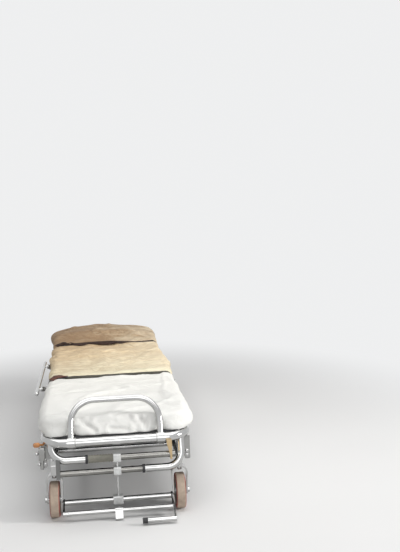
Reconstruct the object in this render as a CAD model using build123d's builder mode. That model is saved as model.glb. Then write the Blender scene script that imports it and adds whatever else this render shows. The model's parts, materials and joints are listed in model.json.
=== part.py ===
from build123d import *
import os
from math import asin, cos, radians, sin, sqrt

os.makedirs("parts", exist_ok=True)

# Wheeled ambulance stretcher, lowered. Millimetres, +Z up, floor at Z 0.
# The foot end, with the folding loop handle, points to -Y; the head end and backrest to +Y.

# Bed frame: one closed ring of round tube with cross tubes
bed_len = 1900.0
bed_width = 532.0
bed_tube_r = 16.0
bed_corner_r = 80.0
bed_z = 266.0
cross_tube_r = 11.0
foot_cross_from_foot = 330.0
hip_cross_before_hip = 70.0
head_cross_past_legs = 70.0

# Clearances shared by the pieces
touch = 0.3
pin_play = 0.08
side_play = 0.6

# Foot loop handle: its sleeves turn on the end tube, and it leans back over the mattress
loop_tube_r = 11.0
loop_half = 156.0
loop_reach = 150.0
loop_corner_r = 82.0
loop_lean = 60.0
loop_sleeve_r = 19.0
loop_sleeve_w = 24.0
loop_lug_t = 4.0

# Overall placing: the pedal at the foot end and the bed's head end lie at equal distances from Y 0
pedal_over = 100.0
pedal_r = 9.0
pedal_cap_r = 10.0
bed_foot = (pedal_over + pedal_cap_r - bed_len) / 2
bed_head = bed_foot + bed_len
side_x = bed_width / 2 - bed_tube_r
inner_x = side_x - bed_tube_r
end_tube_y = bed_foot + bed_tube_r

# Deck boards and mattress
board_t = 5.0
board_gap = 6.0
board_corner_r = 45.0
mattress_t = 52.0
mattress_side_gap = 3.0
mattress_end_gap = 66.0
mattress_corner_r = 70.0
mattress_edge_r = 20.0
pad_t = 46.0
pad_len = 260.0
pad_side_gap = 18.0
pad_end_gap = 10.0
pad_corner_r = 70.0
pad_edge_r = 30.0
deck_z = bed_z + bed_tube_r - board_t
mattress_z = deck_z + board_t
mattress_top = mattress_z + mattress_t

# Straps and buckles
strap_w = 50.0
strap_t = 2.0
strap_bend_r = 13.0
strap_drop = 12.0
leg_strap_from_foot = 750.0
chest_strap_from_head = 340.0
buckle_in = 51.0
buckle_len = 64.0
buckle_w = 58.0
buckle_t = 11.0
buckle_corner_r = 8.0
buckle_edge_r = 3.0

# Backrest
hip_from_foot = 1190.0
back_tube_r = 11.0
back_brace_r = 9.0
back_side_gap = 31.0
back_corner_r = 60.0
back_end_gap = 40.0
back_angle = 70.0
notch_angle = back_angle / 2 + 1.5
hinge_cheek_t = 7.0
hinge_cheek_r = 18.0
hinge_knuckle_r = 14.0
hinge_knuckle_in = 6.0
hinge_pin_r = 5.0
rest_from_head = 222.0
rest_w = 35.0
rest_t = 5.0

# Scissor legs between the base and the bed
leg_len = 1050.0
leg_tube_r = 12.5
leg_end = 12.0
leg_to_track = 17.0
leg_to_leg = 31.0
leg_pin_r = 6.0
leg_pin_shoulder = 4.0
leg_cross_r = 10.0
leg_cross_in = 62.0
leg_pivot_from_foot = 390.0
bed_pivot_z = 236.0
lift_angle = 34.5
roller_r = 8.5
roller_w = 8.0
roller_in = 2.0

# Tracks that guide the rolling leg ends
track_wall = 3.0
track_slot = 19.0
track_to_base = 25.0
bed_track_w = 18.0
base_track_depth = 11.0
track_end = 24.0
hanger_w = 16.0
track_under_back = 5.5
track_seat = 3.0

# Base frame and its fixed foot forks
base_in = 30.0
base_z = 190.0
base_tube_r = 12.5
base_start_from_foot = 33.0
base_cross_r = 11.0
base_cross_from_foot = 190.0
base_cross_before_stem = 66.0
foot_axle_from_foot = 42.0
stem_past_legs = 136.0

# Wheels
wheel_r = 62.5
wheel_w = 34.0
tyre_t = 13.0
tyre_edge_r = 6.0
hub_w = 38.0
hub_boss_r = 14.0
hub_web_t = 9.0
hub_inset = 3.0
hub_rim_t = 4.5
hub_holes = 6
hub_hole_r = 7.0

# Forks, casters and axles
fork_side_gap = 3.0
fork_t = 5.0
fork_w = 30.0
fork_arch_z = 128.0
fork_taper = 2.0
axle_pin_r = 6.0
brace_r = 10.0
brace_drop = 14.0
brace_out = 8.0
nut_r = 10.0
nut_t = 7.0
neck_w = 20.0
trail = 28.0
stem_r = 8.0
sleeve_r = 17.0
sleeve_above = 2.0
sleeve_below = 29.0
crown_r = 22.0
crown_t = 3.0
stem_cap_r = 13.0
stem_cap_t = 6.0

# Lock bars and rods under the foot end of the bed
bar_r = 13.0
rod_r = 11.0
bar_out = 14.0
upper_bar_z = 210.0
lower_bar_z = 164.0
elbow_r = 52.0
elbow_in = 24.0
upper_bar_reach = 109.0
lower_bar_reach = 96.0
upper_rod_end = 203.0
lower_rod_end = 210.0
collar_r = 15.0
collar_w = 9.0
grip_r = 12.5
grip_rib_r = 13.8
grip_ribs = 9
clamp_w = 26.0
clamp_h = 28.0
clamp_d = 28.0
clamp_edge_r = 4.0
hanger_t = 14.0
hanger_wall = 4.0
hanger_from_rod_end = 11.0
hanger_top_w = 18.0
pull_rod_r = 3.0
catch_gap = 2.0
catch_w = 35.0
catch_half = 15.0
catch_edge_r = 5.0
plate_t = 5.0
plate_from_foot = 57.0
plate_in = 52.5
plate_edge_in = 4.0
plate_top_drop = 12.0
plate_step_drop = 52.0
plate_neck_drop = 66.0
plate_low_drop = 94.0
plate_neck_in = 24.0
plate_round_r = 4.0

# Foot brake
brake_r = 8.0
brake_over = 24.0
brake_z = 30.0
pedal_z = 16.0
pedal_start = 83.0
pedal_cap_len = 11.0
pedal_cap_over = 6.0
stop_w = 26.0
stop_r = 12.0
stop_tip_r = 6.0
stop_out = 17.0
brake_arm_t = 6.0
brake_arm_r = 14.0

# Side rails: a parallel linkage that lies down along the bed
post_len = 230.0
post_w = 20.0
post_t = 5.0
post_gap = 22.0
left_rail_angle = 13.0
right_rail_angle = -15.0
front_post_from_foot = 880.0
post_spacing = 480.0
rail_r = 8.0
rail_gap = 6.0
rail_over = 92.0
rail_pin_r = 4.0
rail_boss_r = 12.0

# Socket for an infusion pole
socket_bore_r = 9.8
socket_wall = 3.2
socket_len = 70.0
socket_gap = 2.0
socket_from_head = 240.0
socket_arm_w = 18.0
socket_arm_h = 22.0

# Places worked out from the sizes above
mattress_half = bed_width / 2 - mattress_side_gap
buckle_x = buckle_in - bed_width / 2
back_half = inner_x - back_side_gap
base_x = side_x - base_in
track_x = base_x - track_to_base
outer_leg_x = track_x - leg_to_track
inner_leg_x = outer_leg_x - leg_to_leg
post_x = bed_width / 2 + post_gap
legs_from_foot = leg_pivot_from_foot + leg_len
hip_cross_from_foot = hip_from_foot - hip_cross_before_hip
head_cross_from_foot = legs_from_foot + head_cross_past_legs
hip_y = bed_foot + hip_from_foot
leg_rest = asin((bed_pivot_z - base_z) / leg_len)
leg_raised = leg_rest + radians(lift_angle)
leg_foot_y = bed_foot + leg_pivot_from_foot
leg_head_y = leg_foot_y + leg_len * cos(leg_rest)
leg_mid_y = (leg_foot_y + leg_head_y) / 2
leg_mid_z = (base_z + bed_pivot_z) / 2
roll_travel = leg_len * (cos(leg_rest) - cos(leg_raised))
foot_axle_y = bed_foot + foot_axle_from_foot
brace_y = foot_axle_y - brace_out
brace_z = wheel_r - brace_drop
bar_y = end_tube_y - bar_out
elbow_x = side_x - elbow_in
root_y = end_tube_y + bed_corner_r - sqrt(bed_corner_r**2 - (bed_corner_r - elbow_in) ** 2)
stem_y = bed_foot + legs_from_foot + stem_past_legs
fork_inner = hub_w / 2 + fork_side_gap
fork_outer = fork_inner + fork_t
fork_top = fork_arch_z + fork_outer + fork_taper
rail_x = post_x + post_t + rail_gap + rail_r
SIDES = (("left", -1), ("right", 1))


def span(a, b, side=1):
    """The (low, high) of two places along X, mirrored where side is -1."""
    return tuple(sorted((side * a, side * b)))


def round_bar(points, radius, bend=0.0, mode=Mode.ADD):
    """Adds a round bar along the points, its corners bent to one radius."""
    with BuildLine() as route:
        if len(points) > 2:
            FilletPolyline(*points, radius=bend)
        else:
            Line(*points)
    with BuildSketch(Plane(origin=route.line @ 0, z_dir=route.line % 0)) as section:
        Circle(radius)
    sweep(section.sketch, path=route.line, mode=mode)


def pin_x(x, y, z, radius, mode=Mode.ADD):
    """Adds or cuts a round pin along X between the (low, high) in x."""
    with BuildSketch(Plane(origin=(x[0], y, z), x_dir=(0, 1, 0), z_dir=(1, 0, 0))) as section:
        Circle(radius)
    extrude(section.sketch, amount=x[1] - x[0], mode=mode)


def block(x, y, z, mode=Mode.ADD):
    """Adds or cuts a box given by its (low, high) on each axis."""
    with Locations(((x[0] + x[1]) / 2, (y[0] + y[1]) / 2, (z[0] + z[1]) / 2)):
        Box(x[1] - x[0], y[1] - y[0], z[1] - z[0], mode=mode)


def save(piece, name):
    """Writes one finished piece as its own node."""
    piece.part.label = name
    export_step(piece.part, f"parts/{name}.step")


# Bed frame: the closed ring
with BuildPart() as bed_frame:
    half_ring = [
        (0, end_tube_y, bed_z),
        (side_x, end_tube_y, bed_z),
        (side_x, bed_head - bed_tube_r, bed_z),
        (0, bed_head - bed_tube_r, bed_z),
    ]
    round_bar(half_ring, bed_tube_r, bed_corner_r)
    mirror(about=Plane.YZ)
save(bed_frame, "bed_frame")

# Cross tubes of the bed, the last one hung lower to clear the backrest
with BuildPart() as bed_cross_tubes:
    for from_foot in (foot_cross_from_foot, hip_cross_from_foot):
        y = bed_foot + from_foot
        round_bar([(-side_x, y, bed_z), (side_x, y, bed_z)], cross_tube_r)
    y = bed_foot + head_cross_from_foot
    drop = [
        (-side_x, y, bed_z),
        (-side_x, y, bed_pivot_z),
        (side_x, y, bed_pivot_z),
        (side_x, y, bed_z),
    ]
    round_bar(drop, cross_tube_r, 1.2 * cross_tube_r)
    add(bed_frame.part, mode=Mode.SUBTRACT)
save(bed_cross_tubes, "bed_cross_tubes")

# Hip brackets that hold the backrest's pins
with BuildPart() as hip_brackets:
    for _, s in SIDES:
        pin_x(span(inner_x - hinge_cheek_t, side_x, s), hip_y, bed_z, hinge_cheek_r)
        bore = span(inner_x - 2 * hinge_cheek_t, inner_x + 2 * hinge_cheek_t, s)
        pin_x(bore, hip_y, bed_z, hinge_pin_r + pin_play, Mode.SUBTRACT)
    add(bed_frame.part, mode=Mode.SUBTRACT)
save(hip_brackets, "hip_brackets")

# Shelves that the lowered backrest lies on
with BuildPart() as back_rests:
    rest_z = bed_z - back_tube_r - touch
    rest_y = bed_head - rest_from_head
    for _, s in SIDES:
        rest_x = span(back_half - back_tube_r, side_x, s)
        block(rest_x, (rest_y - rest_w / 2, rest_y + rest_w / 2), (rest_z - rest_t, rest_z))
    add(bed_frame.part, mode=Mode.SUBTRACT)
save(back_rests, "back_rests")

# Pivots of the side rails' posts
with BuildPart() as rail_pivots:
    for _, s in SIDES:
        for k in range(2):
            y = bed_foot + front_post_from_foot + k * post_spacing
            pin_x(span(side_x, post_x - side_play, s), y, bed_z, rail_boss_r)
            pin_x(span(side_x, post_x + post_t + side_play, s), y, bed_z, rail_pin_r)
    add(bed_frame.part, mode=Mode.SUBTRACT)
save(rail_pivots, "rail_pivots")

# Lugs on the end tube that keep the loop handle's sleeves in place
with BuildPart() as loop_lugs:
    lug_start = loop_half - loop_sleeve_w / 2 - side_play
    for _, s in SIDES:
        pin_x(span(lug_start - loop_lug_t, lug_start, s), end_tube_y, bed_z, loop_sleeve_r)
    add(bed_frame.part, mode=Mode.SUBTRACT)
save(loop_lugs, "loop_lugs")

# Tracks under the bed: the outer leg rolls in them, the inner leg is pinned to them
for name, s in SIDES:
    with BuildPart() as bed_track:
        start_y = bed_foot + foot_cross_from_foot - hanger_w / 2
        end_y = bed_foot + head_cross_from_foot - cross_tube_r + track_seat
        track_top = bed_z - back_tube_r - track_under_back
        low = bed_pivot_z - track_slot / 2
        block(span(track_x, track_x + bed_track_w, s), (start_y, end_y), (low - track_wall, track_top))
        for from_foot in (foot_cross_from_foot, hip_cross_from_foot):
            y = bed_foot + from_foot
            hang = (y - hanger_w / 2, y + hanger_w / 2)
            block(span(track_x, track_x + bed_track_w, s), hang, (track_top, bed_z - cross_tube_r / 2))
        slot_x = span(track_x - 1, track_x + bed_track_w - track_wall, s)
        slot_y = (leg_head_y - roll_travel - track_end, leg_head_y + track_end)
        block(slot_x, slot_y, (low, low + track_slot), Mode.SUBTRACT)
        bore = span(track_x - 1, track_x + bed_track_w + 1, s)
        pin_x(bore, leg_foot_y, bed_pivot_z, leg_pin_r + pin_play, Mode.SUBTRACT)
        add(bed_cross_tubes.part, mode=Mode.SUBTRACT)
    save(bed_track, f"bed_track_{name}")

# Deck boards: one fixed under the legs, one on the backrest
leg_board_y = (bed_foot + 2 * bed_tube_r + board_gap, hip_y - hinge_cheek_r - board_gap)
back_board_y = (hip_y + hinge_cheek_r + board_gap, bed_head - 2 * bed_tube_r - board_gap)
for name, y in (("leg_board", leg_board_y), ("backrest_board", back_board_y)):
    with BuildPart() as board:
        with BuildSketch(Plane.XY.offset(deck_z)):
            with Locations((0, (y[0] + y[1]) / 2)):
                RectangleRounded(2 * (inner_x - board_gap), y[1] - y[0], board_corner_r)
        extrude(amount=board_t)
    save(board, name)

# Mattress halves: each face at the hip leans away from the hinge, so that the backrest can rise
for name, away in (("mattress_leg", 1), ("mattress_back", -1)):
    with BuildPart() as mattress:
        start_y = bed_foot + mattress_end_gap
        with BuildSketch(Plane.XY.offset(mattress_z + touch)):
            with Locations((0, (start_y + bed_head) / 2)):
                RectangleRounded(2 * mattress_half, bed_head - start_y, mattress_corner_r)
        extrude(amount=mattress_t - touch)
        fillet(mattress.edges().group_by(Axis.Z)[-1], mattress_edge_r)
        lean = radians(notch_angle)
        face = Plane(origin=(0, hip_y, bed_z), z_dir=(0, away * cos(lean), sin(lean)))
        split(bisect_by=face, keep=Keep.BOTTOM)
    save(mattress, name)

with BuildPart() as head_pad:
    with BuildSketch(Plane.XY.offset(mattress_top + touch)):
        with Locations((0, bed_head - pad_len / 2 - pad_end_gap)):
            RectangleRounded(2 * (mattress_half - pad_side_gap), pad_len, pad_corner_r)
    extrude(amount=pad_t)
    fillet(head_pad.edges().group_by(Axis.Z)[-1], pad_edge_r)
save(head_pad, "head_pad")

# Backrest tube frame, hinged at the hip
with BuildPart() as backrest_frame:
    back_end = bed_head - 2 * bed_tube_r - back_end_gap + back_tube_r
    back_u = [
        (-back_half, hip_y, bed_z),
        (-back_half, back_end, bed_z),
        (back_half, back_end, bed_z),
        (back_half, hip_y, bed_z),
    ]
    round_bar(back_u, back_tube_r, back_corner_r)
    for share in (0.22, 0.62):
        y = hip_y + share * (back_end - hip_y)
        round_bar([(-back_half, y, bed_z), (back_half, y, bed_z)], back_brace_r)
    for _, s in SIDES:
        knuckle_x = span(back_half - hinge_knuckle_in, inner_x - hinge_cheek_t - side_play, s)
        pin_x(knuckle_x, hip_y, bed_z, hinge_knuckle_r)
        pin_x(span(back_half, inner_x - touch, s), hip_y, bed_z, hinge_pin_r)
save(backrest_frame, "backrest_frame")

# Straps over the mattress, each with its buckle
STRAPS = (
    # name, place, half width that it runs round, height of its lower ends
    ("leg", bed_foot + leg_strap_from_foot, bed_width / 2, bed_z - strap_drop),
    ("chest", bed_head - chest_strap_from_head, mattress_half, mattress_z + strap_t),
)
for name, y, half, low_z in STRAPS:
    strap_x = half + touch + strap_t / 2
    strap_z = mattress_top + touch + strap_t / 2
    with BuildPart() as strap:
        with BuildSketch(Plane.XZ.offset(-y - strap_w / 2)):
            with BuildLine():
                left = [(-strap_x, low_z), (-strap_x, strap_z)]
                FilletPolyline(*left, (strap_x, strap_z), (strap_x, low_z), radius=strap_bend_r)
            trace(line_width=strap_t)
        extrude(amount=strap_w)
    save(strap, f"{name}_strap")
    with BuildPart() as buckle:
        with BuildSketch(Plane.XY.offset(mattress_top + 2 * touch + strap_t)):
            with Locations((buckle_x, y)):
                RectangleRounded(buckle_len, buckle_w, buckle_corner_r)
        extrude(amount=buckle_t)
        fillet(buckle.edges().group_by(Axis.Z)[-1], buckle_edge_r)
    save(buckle, f"{name}_buckle")

# Loop handle: one bent tube on two sleeves
with BuildPart() as loop_handle:
    bow_y = end_tube_y + loop_reach * cos(radians(loop_lean))
    bow_z = bed_z + loop_reach * sin(radians(loop_lean))
    bow = [
        (-loop_half, end_tube_y, bed_z),
        (-loop_half, bow_y, bow_z),
        (loop_half, bow_y, bow_z),
        (loop_half, end_tube_y, bed_z),
    ]
    round_bar(bow, loop_tube_r, loop_corner_r)
    for _, s in SIDES:
        sleeve_x = span(loop_half - loop_sleeve_w / 2, loop_half + loop_sleeve_w / 2, s)
        pin_x(sleeve_x, end_tube_y, bed_z, loop_sleeve_r)
    pin_x((-bed_width / 2, bed_width / 2), end_tube_y, bed_z, bed_tube_r + pin_play, Mode.SUBTRACT)
save(loop_handle, "loop_handle")

# Lock bars: an elbow from each corner of the bed, run across under its end tube
BARS = (
    # side name, side, height, end of the thick bar and end of its rod as distances from the middle
    ("left", -1, upper_bar_z, upper_bar_reach, upper_rod_end),
    ("right", 1, lower_bar_z, lower_bar_reach, lower_rod_end),
)
lock_bars = {}
for name, s, z, reach, rod_end in BARS:
    with BuildPart() as lock_bar:
        round_bar([(s * elbow_x, root_y, bed_z), (s * elbow_x, bar_y, z), (s * reach, bar_y, z)], bar_r, elbow_r)
        add(bed_frame.part, mode=Mode.SUBTRACT)
    save(lock_bar, f"lock_bar_{name}")
    lock_bars[name] = lock_bar.part
    with BuildPart() as rod:
        pin_x(span(s * reach, -s * rod_end), bar_y, z, rod_r)
    save(rod, f"lock_rod_{name}")
    with BuildPart() as collar:
        x = span(reach - collar_w, reach, s)
        pin_x(x, bar_y, z, collar_r)
        pin_x(x, bar_y, z, rod_r, Mode.SUBTRACT)
    save(collar, f"rod_collar_{name}")

# Ribbed grip on the upper rod, beside the middle clamp
with BuildPart() as rod_grip:
    grip_x = (-upper_bar_reach + collar_w, -clamp_w / 2)
    pin_x(grip_x, bar_y, upper_bar_z, grip_r)
    pitch = (grip_x[1] - grip_x[0]) / grip_ribs
    for k in range(grip_ribs):
        rib = grip_x[0] + (k + 0.25) * pitch
        pin_x((rib, rib + pitch / 2), bar_y, upper_bar_z, grip_rib_r)
    pin_x(grip_x, bar_y, upper_bar_z, rod_r, Mode.SUBTRACT)
save(rod_grip, "rod_grip")

# Middle clamps on both rods, and the pull rod that leads down from them to the catch
with BuildPart() as pull_rod:
    for z in (upper_bar_z, lower_bar_z):
        clamp_y = (bar_y - clamp_d / 2, bar_y + clamp_d / 2)
        block((-clamp_w / 2, clamp_w / 2), clamp_y, (z - clamp_h / 2, z + clamp_h / 2))
    fillet(pull_rod.edges().filter_by(Axis.X), clamp_edge_r)
    round_bar([(0, bar_y, upper_bar_z - clamp_h / 2), (0, bar_y, lower_bar_z + clamp_h / 2)], pull_rod_r)
    tip = (0, brace_y, brace_z + catch_half + catch_gap)
    round_bar([(0, bar_y, lower_bar_z - clamp_h / 2 + 1), tip], pull_rod_r)
    for z in (upper_bar_z, lower_bar_z):
        pin_x((-clamp_w, clamp_w), bar_y, z, rod_r, Mode.SUBTRACT)
save(pull_rod, "pull_rod")

# Hangers that carry the far end of each rod
with BuildPart() as rod_hangers:
    hanger_y = (bar_y - rod_r - hanger_wall, bar_y + rod_r + hanger_wall)
    x = upper_rod_end - hanger_from_rod_end
    low_z = upper_bar_z - rod_r - hanger_wall
    with BuildSketch(Plane.XZ.offset(-hanger_y[0])):
        with BuildLine():
            Polyline(
                (x, low_z),
                (x, bed_z - hanger_wall),
                (x - hanger_top_w, bed_z - hanger_wall),
                (x - hanger_top_w, bed_z - bed_tube_r),
                (x - hanger_t / 2, upper_bar_z),
                (x - hanger_t / 2, low_z),
                close=True,
            )
        make_face()
    extrude(amount=hanger_y[0] - hanger_y[1])
    pin_x((x - hanger_top_w, x), bar_y, upper_bar_z, rod_r, Mode.SUBTRACT)
    x = (-lower_rod_end, -lower_rod_end + hanger_t)
    block(x, hanger_y, (lower_bar_z - rod_r - hanger_wall, upper_bar_z + bar_r / 2))
    pin_x(x, bar_y, lower_bar_z, rod_r, Mode.SUBTRACT)
    add(bed_frame.part, mode=Mode.SUBTRACT)
    add(lock_bars["left"], mode=Mode.SUBTRACT)
save(rod_hangers, "rod_hangers")

# Corner plates that hang from the bed tube behind the elbows, each with a tongue outside the base
with BuildPart() as bar_plates:
    inner, neck, outer = (bed_width / 2 - inset for inset in (plate_in, plate_neck_in, plate_edge_in))
    with BuildSketch(Plane.XZ.offset(-bed_foot - plate_from_foot - plate_t / 2)):
        with BuildLine():
            Polyline(
                (inner, bed_z - plate_top_drop),
                (outer, bed_z - plate_top_drop),
                (outer, bed_z - plate_low_drop),
                (neck, bed_z - plate_low_drop),
                (neck, bed_z - plate_neck_drop),
                (inner, bed_z - plate_step_drop),
                close=True,
            )
        make_face()
    extrude(amount=plate_t)
    fillet(bar_plates.edges().filter_by(Axis.Y).group_by(Axis.Z)[0], plate_round_r)
    mirror(about=Plane.YZ)
    add(bed_frame.part, mode=Mode.SUBTRACT)
save(bar_plates, "bar_plates")

# Pole socket at the head end of the left side
with BuildPart() as pole_socket:
    socket_r = socket_bore_r + socket_wall
    socket_x = -(side_x + bed_tube_r + socket_gap + socket_r)
    socket_y = bed_head - socket_from_head
    with Locations((socket_x, socket_y, bed_z)):
        Cylinder(socket_r, socket_len)
    arm_y = (socket_y - socket_arm_w / 2, socket_y + socket_arm_w / 2)
    block((socket_x, -side_x), arm_y, (bed_z - socket_arm_h / 2, bed_z + socket_arm_h / 2))
    with Locations((socket_x, socket_y, bed_z)):
        Cylinder(socket_bore_r, socket_len, mode=Mode.SUBTRACT)
    add(bed_frame.part, mode=Mode.SUBTRACT)
save(pole_socket, "pole_socket")

# Side rails: two posts and a top rail on each side, the left held a little above its lowest place
for name, s, angle in (("left", -1, left_rail_angle), ("right", 1, right_rail_angle)):
    plane = Plane.YZ.offset(span(post_x, post_x + post_t, s)[0])
    post_dy = post_len * cos(radians(angle))
    post_dz = post_len * sin(radians(angle))
    tops = []
    for k, place in enumerate(("foot", "head")):
        foot_pin = (bed_foot + front_post_from_foot + k * post_spacing, bed_z)
        top_pin = (foot_pin[0] - post_dy, foot_pin[1] + post_dz)
        tops.append(top_pin)
        with BuildPart() as post:
            with BuildSketch(plane):
                with Locations(((foot_pin[0] + top_pin[0]) / 2, (foot_pin[1] + top_pin[1]) / 2)):
                    SlotCenterToCenter(post_len, post_w, rotation=-angle)
                with Locations(foot_pin, top_pin):
                    Circle(rail_pin_r + pin_play, mode=Mode.SUBTRACT)
            extrude(amount=post_t)
        save(post, f"rail_post_{place}_{name}")
    with BuildPart() as rail:
        (front_y, top_z), (rear_y, _) = tops
        round_bar([(s * rail_x, front_y - rail_over, top_z), (s * rail_x, rear_y + rail_over, top_z)], rail_r)
        fillet(rail.edges().filter_by(GeomType.CIRCLE), rail_r * 0.6)
        for top_y, top_z in tops:
            pin_x(span(post_x - 1.5, rail_x, s), top_y, top_z, rail_pin_r)
    save(rail, f"side_rail_{name}")

# Scissor legs: the outer pair is pinned to the base and rolls under the bed, the inner pair the other way
def leg_point(distance, start_z, rise):
    """(Y, Z) at a distance along a leg from its pinned end."""
    return leg_foot_y + distance * cos(leg_rest), start_z + rise * distance * sin(leg_rest)


LEGS = (
    # name, side tube place, height of the pinned end, +1 where the leg rises towards the head
    ("outer", outer_leg_x, base_z, 1),
    ("inner", inner_leg_x, bed_pivot_z, -1),
)
for name, x, start_z, rise in LEGS:
    with BuildPart() as leg:
        near = leg_point(-leg_end, start_z, rise)
        far = leg_point(leg_len + leg_end, start_z, rise)
        for s in (-1, 1):
            round_bar([(s * x, *near), (s * x, *far)], leg_tube_r)
        for distance in (leg_cross_in, leg_len - leg_cross_in):
            y, z = leg_point(distance, start_z, rise)
            round_bar([(-x, y, z), (x, y, z)], leg_cross_r)
        roll_y, roll_z = leg_point(leg_len, start_z, rise)
        for s in (-1, 1):
            roller = track_x + roller_in
            pin_x(span(x, roller, s), roll_y, roll_z, leg_pin_r)
            pin_x(span(roller, roller + roller_w, s), roll_y, roll_z, roller_r)
            if name == "inner":
                pin_x(span(x, track_x + bed_track_w + 2, s), leg_foot_y, bed_pivot_z, leg_pin_r)
                pin_x(span(x, outer_leg_x + leg_tube_r + 3, s), leg_mid_y, leg_mid_z, leg_pin_r)
            else:
                bore = span(x - leg_tube_r - 1, x + leg_tube_r + 1, s)
                pin_x(bore, leg_foot_y, base_z, leg_pin_r + pin_play, Mode.SUBTRACT)
                pin_x(bore, leg_mid_y, leg_mid_z, leg_pin_r + pin_play, Mode.SUBTRACT)
    save(leg, f"{name}_leg")

# Base side tubes over the wheels, each with its roller track, caster sleeve and leg pin
base_sides = {}
for name, s in SIDES:
    with BuildPart() as base_side:
        start_y = bed_foot + base_start_from_foot
        round_bar([(s * base_x, start_y, base_z), (s * base_x, stem_y, base_z)], base_tube_r)
        sleeve_h = sleeve_below + base_tube_r + sleeve_above
        with Locations((s * base_x, stem_y, base_z - sleeve_below + sleeve_h / 2)):
            Cylinder(sleeve_r, sleeve_h)
        track_y = (leg_head_y - roll_travel - track_end, leg_head_y + track_end)
        block(span(track_x, base_x, s), track_y, (base_z - base_tube_r, base_z + base_tube_r))
        slot_x = span(track_x - 1, track_x + base_track_depth, s)
        slot_z = (base_z - track_slot / 2, base_z + track_slot / 2)
        block(slot_x, (track_y[0] + track_wall, track_y[1] - track_wall), slot_z, Mode.SUBTRACT)
        pin_x(span(outer_leg_x - leg_tube_r - 2, base_x, s), leg_foot_y, base_z, leg_pin_r)
        pin_x(span(outer_leg_x + leg_tube_r + 2, base_x, s), leg_foot_y, base_z, leg_pin_r + leg_pin_shoulder)
        with Locations((s * base_x, stem_y, base_z)):
            Cylinder(stem_r + pin_play, 6 * base_tube_r, mode=Mode.SUBTRACT)
    save(base_side, f"base_side_{name}")
    base_sides[name] = base_side.part

with BuildPart() as base_cross_tubes:
    for y in (bed_foot + base_cross_from_foot, stem_y - base_cross_before_stem):
        round_bar([(-base_x, y, base_z), (base_x, y, base_z)], base_cross_r)
    for side in base_sides.values():
        add(side, mode=Mode.SUBTRACT)
save(base_cross_tubes, "base_cross_tubes")


def fork_strap(axle_y, top_y, top_w):
    """Adds a horseshoe strap over a wheel at X 0, its legs leading from the axle to top_y."""
    straight_z = wheel_r + nut_r + side_play
    for half, mode in ((fork_outer, Mode.ADD), (fork_inner, Mode.SUBTRACT)):
        with BuildSketch(Plane.XZ) as arch:
            with Locations((0, fork_arch_z)):
                Circle(half + fork_taper)
            with Locations((0, straight_z)):
                Rectangle(2 * half, touch)
            make_hull()
            with Locations((0, straight_z / 2)):
                Rectangle(2 * half, straight_z)
        extrude(arch.sketch, amount=2 * wheel_r, both=True, mode=mode)
    with BuildSketch(Plane.YZ) as leaf:
        with Locations((axle_y, wheel_r)):
            Circle(fork_w / 2)
        with Locations((top_y, (fork_arch_z + fork_top) / 2 + 1)):
            Rectangle(top_w, fork_top - fork_arch_z)
        make_hull()
    extrude(leaf.sketch, amount=2 * fork_outer, both=True, mode=Mode.INTERSECT)
    for s in (-1, 1):
        pin_x(span(fork_inner, fork_outer, s), axle_y, wheel_r, axle_pin_r, Mode.SUBTRACT)


# Fixed forks of the foot wheels, each standing under a side tube
for name, s in SIDES:
    with BuildPart() as foot_fork:
        fork_strap(0, 0, fork_w)
        neck_z = (fork_top - fork_t + 1, base_z - base_tube_r / 2)
        block((-neck_w / 2, neck_w / 2), (-fork_w / 2, fork_w / 2), neck_z)
    with BuildPart() as placed:
        add(foot_fork.part.moved(Location((s * base_x, foot_axle_y, 0))))
        add(base_sides[name], mode=Mode.SUBTRACT)
    save(placed, f"foot_fork_{name}")

# Axle bolts of the foot wheels
with BuildPart() as foot_axles:
    for _, s in SIDES:
        outer = base_x + fork_outer
        pin_x(span(base_x - fork_outer, outer + nut_t, s), foot_axle_y, wheel_r, axle_pin_r)
        pin_x(span(outer, outer + nut_t, s), foot_axle_y, wheel_r, nut_r)
save(foot_axles, "foot_axles")

# Brace between the foot forks
with BuildPart() as fork_brace:
    pin_x((-base_x + fork_outer, base_x - fork_outer), brace_y, brace_z, brace_r)
save(fork_brace, "fork_brace")

# Catch on the middle of the brace, under the pull rod
with BuildPart() as catch:
    catch_y = (brace_y - catch_half, brace_y + catch_half)
    block((-catch_w / 2, catch_w / 2), catch_y, (brace_z - catch_half, brace_z + catch_half))
    fillet(catch.edges().filter_by(Axis.X), catch_edge_r)
    pin_x((-catch_w, catch_w), brace_y, brace_z, brace_r, Mode.SUBTRACT)
save(catch, "lock_catch")

# Foot brake: a low bar on two arms, with a short pedal bar on the right
with BuildPart() as foot_brake:
    arm_x = base_x - fork_outer - 1
    brake_y = bed_foot - brake_over
    pedal_y = bed_foot - pedal_over
    pin_x((-arm_x, arm_x), brake_y, brake_z, brake_r)
    pin_x((pedal_start, arm_x), pedal_y, pedal_z, pedal_r)
    ARMS = (
        # left end in X, then (Y, Z, radius) at each end
        (-arm_x, (brace_y, brace_z, brake_arm_r), (brake_y, brake_z, brake_r + 1)),
        (arm_x - brake_arm_t, (brace_y, brace_z, brake_arm_r), (brake_y, brake_z, brake_r + 1)),
        (arm_x - brake_arm_t, (brake_y, brake_z, brake_r + 1), (pedal_y, pedal_z, pedal_r)),
    )
    for arm_start, *ends in ARMS:
        with BuildSketch(Plane.YZ.offset(arm_start)) as arm:
            for y, z, radius in ends:
                with Locations((y, z)):
                    Circle(radius)
            make_hull()
        extrude(arm.sketch, amount=brake_arm_t)
    with BuildSketch(Plane.YZ.offset(-stop_w / 2)) as stop:
        with Locations((brake_y, brake_z)):
            Circle(stop_r)
        with Locations((brake_y - stop_out, stop_tip_r + 2)):
            Circle(stop_tip_r)
        make_hull()
    extrude(stop.sketch, amount=stop_w)
    pin_x((-arm_x - 1, arm_x + 1), brace_y, brace_z, brace_r, Mode.SUBTRACT)
save(foot_brake, "foot_brake")

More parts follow.
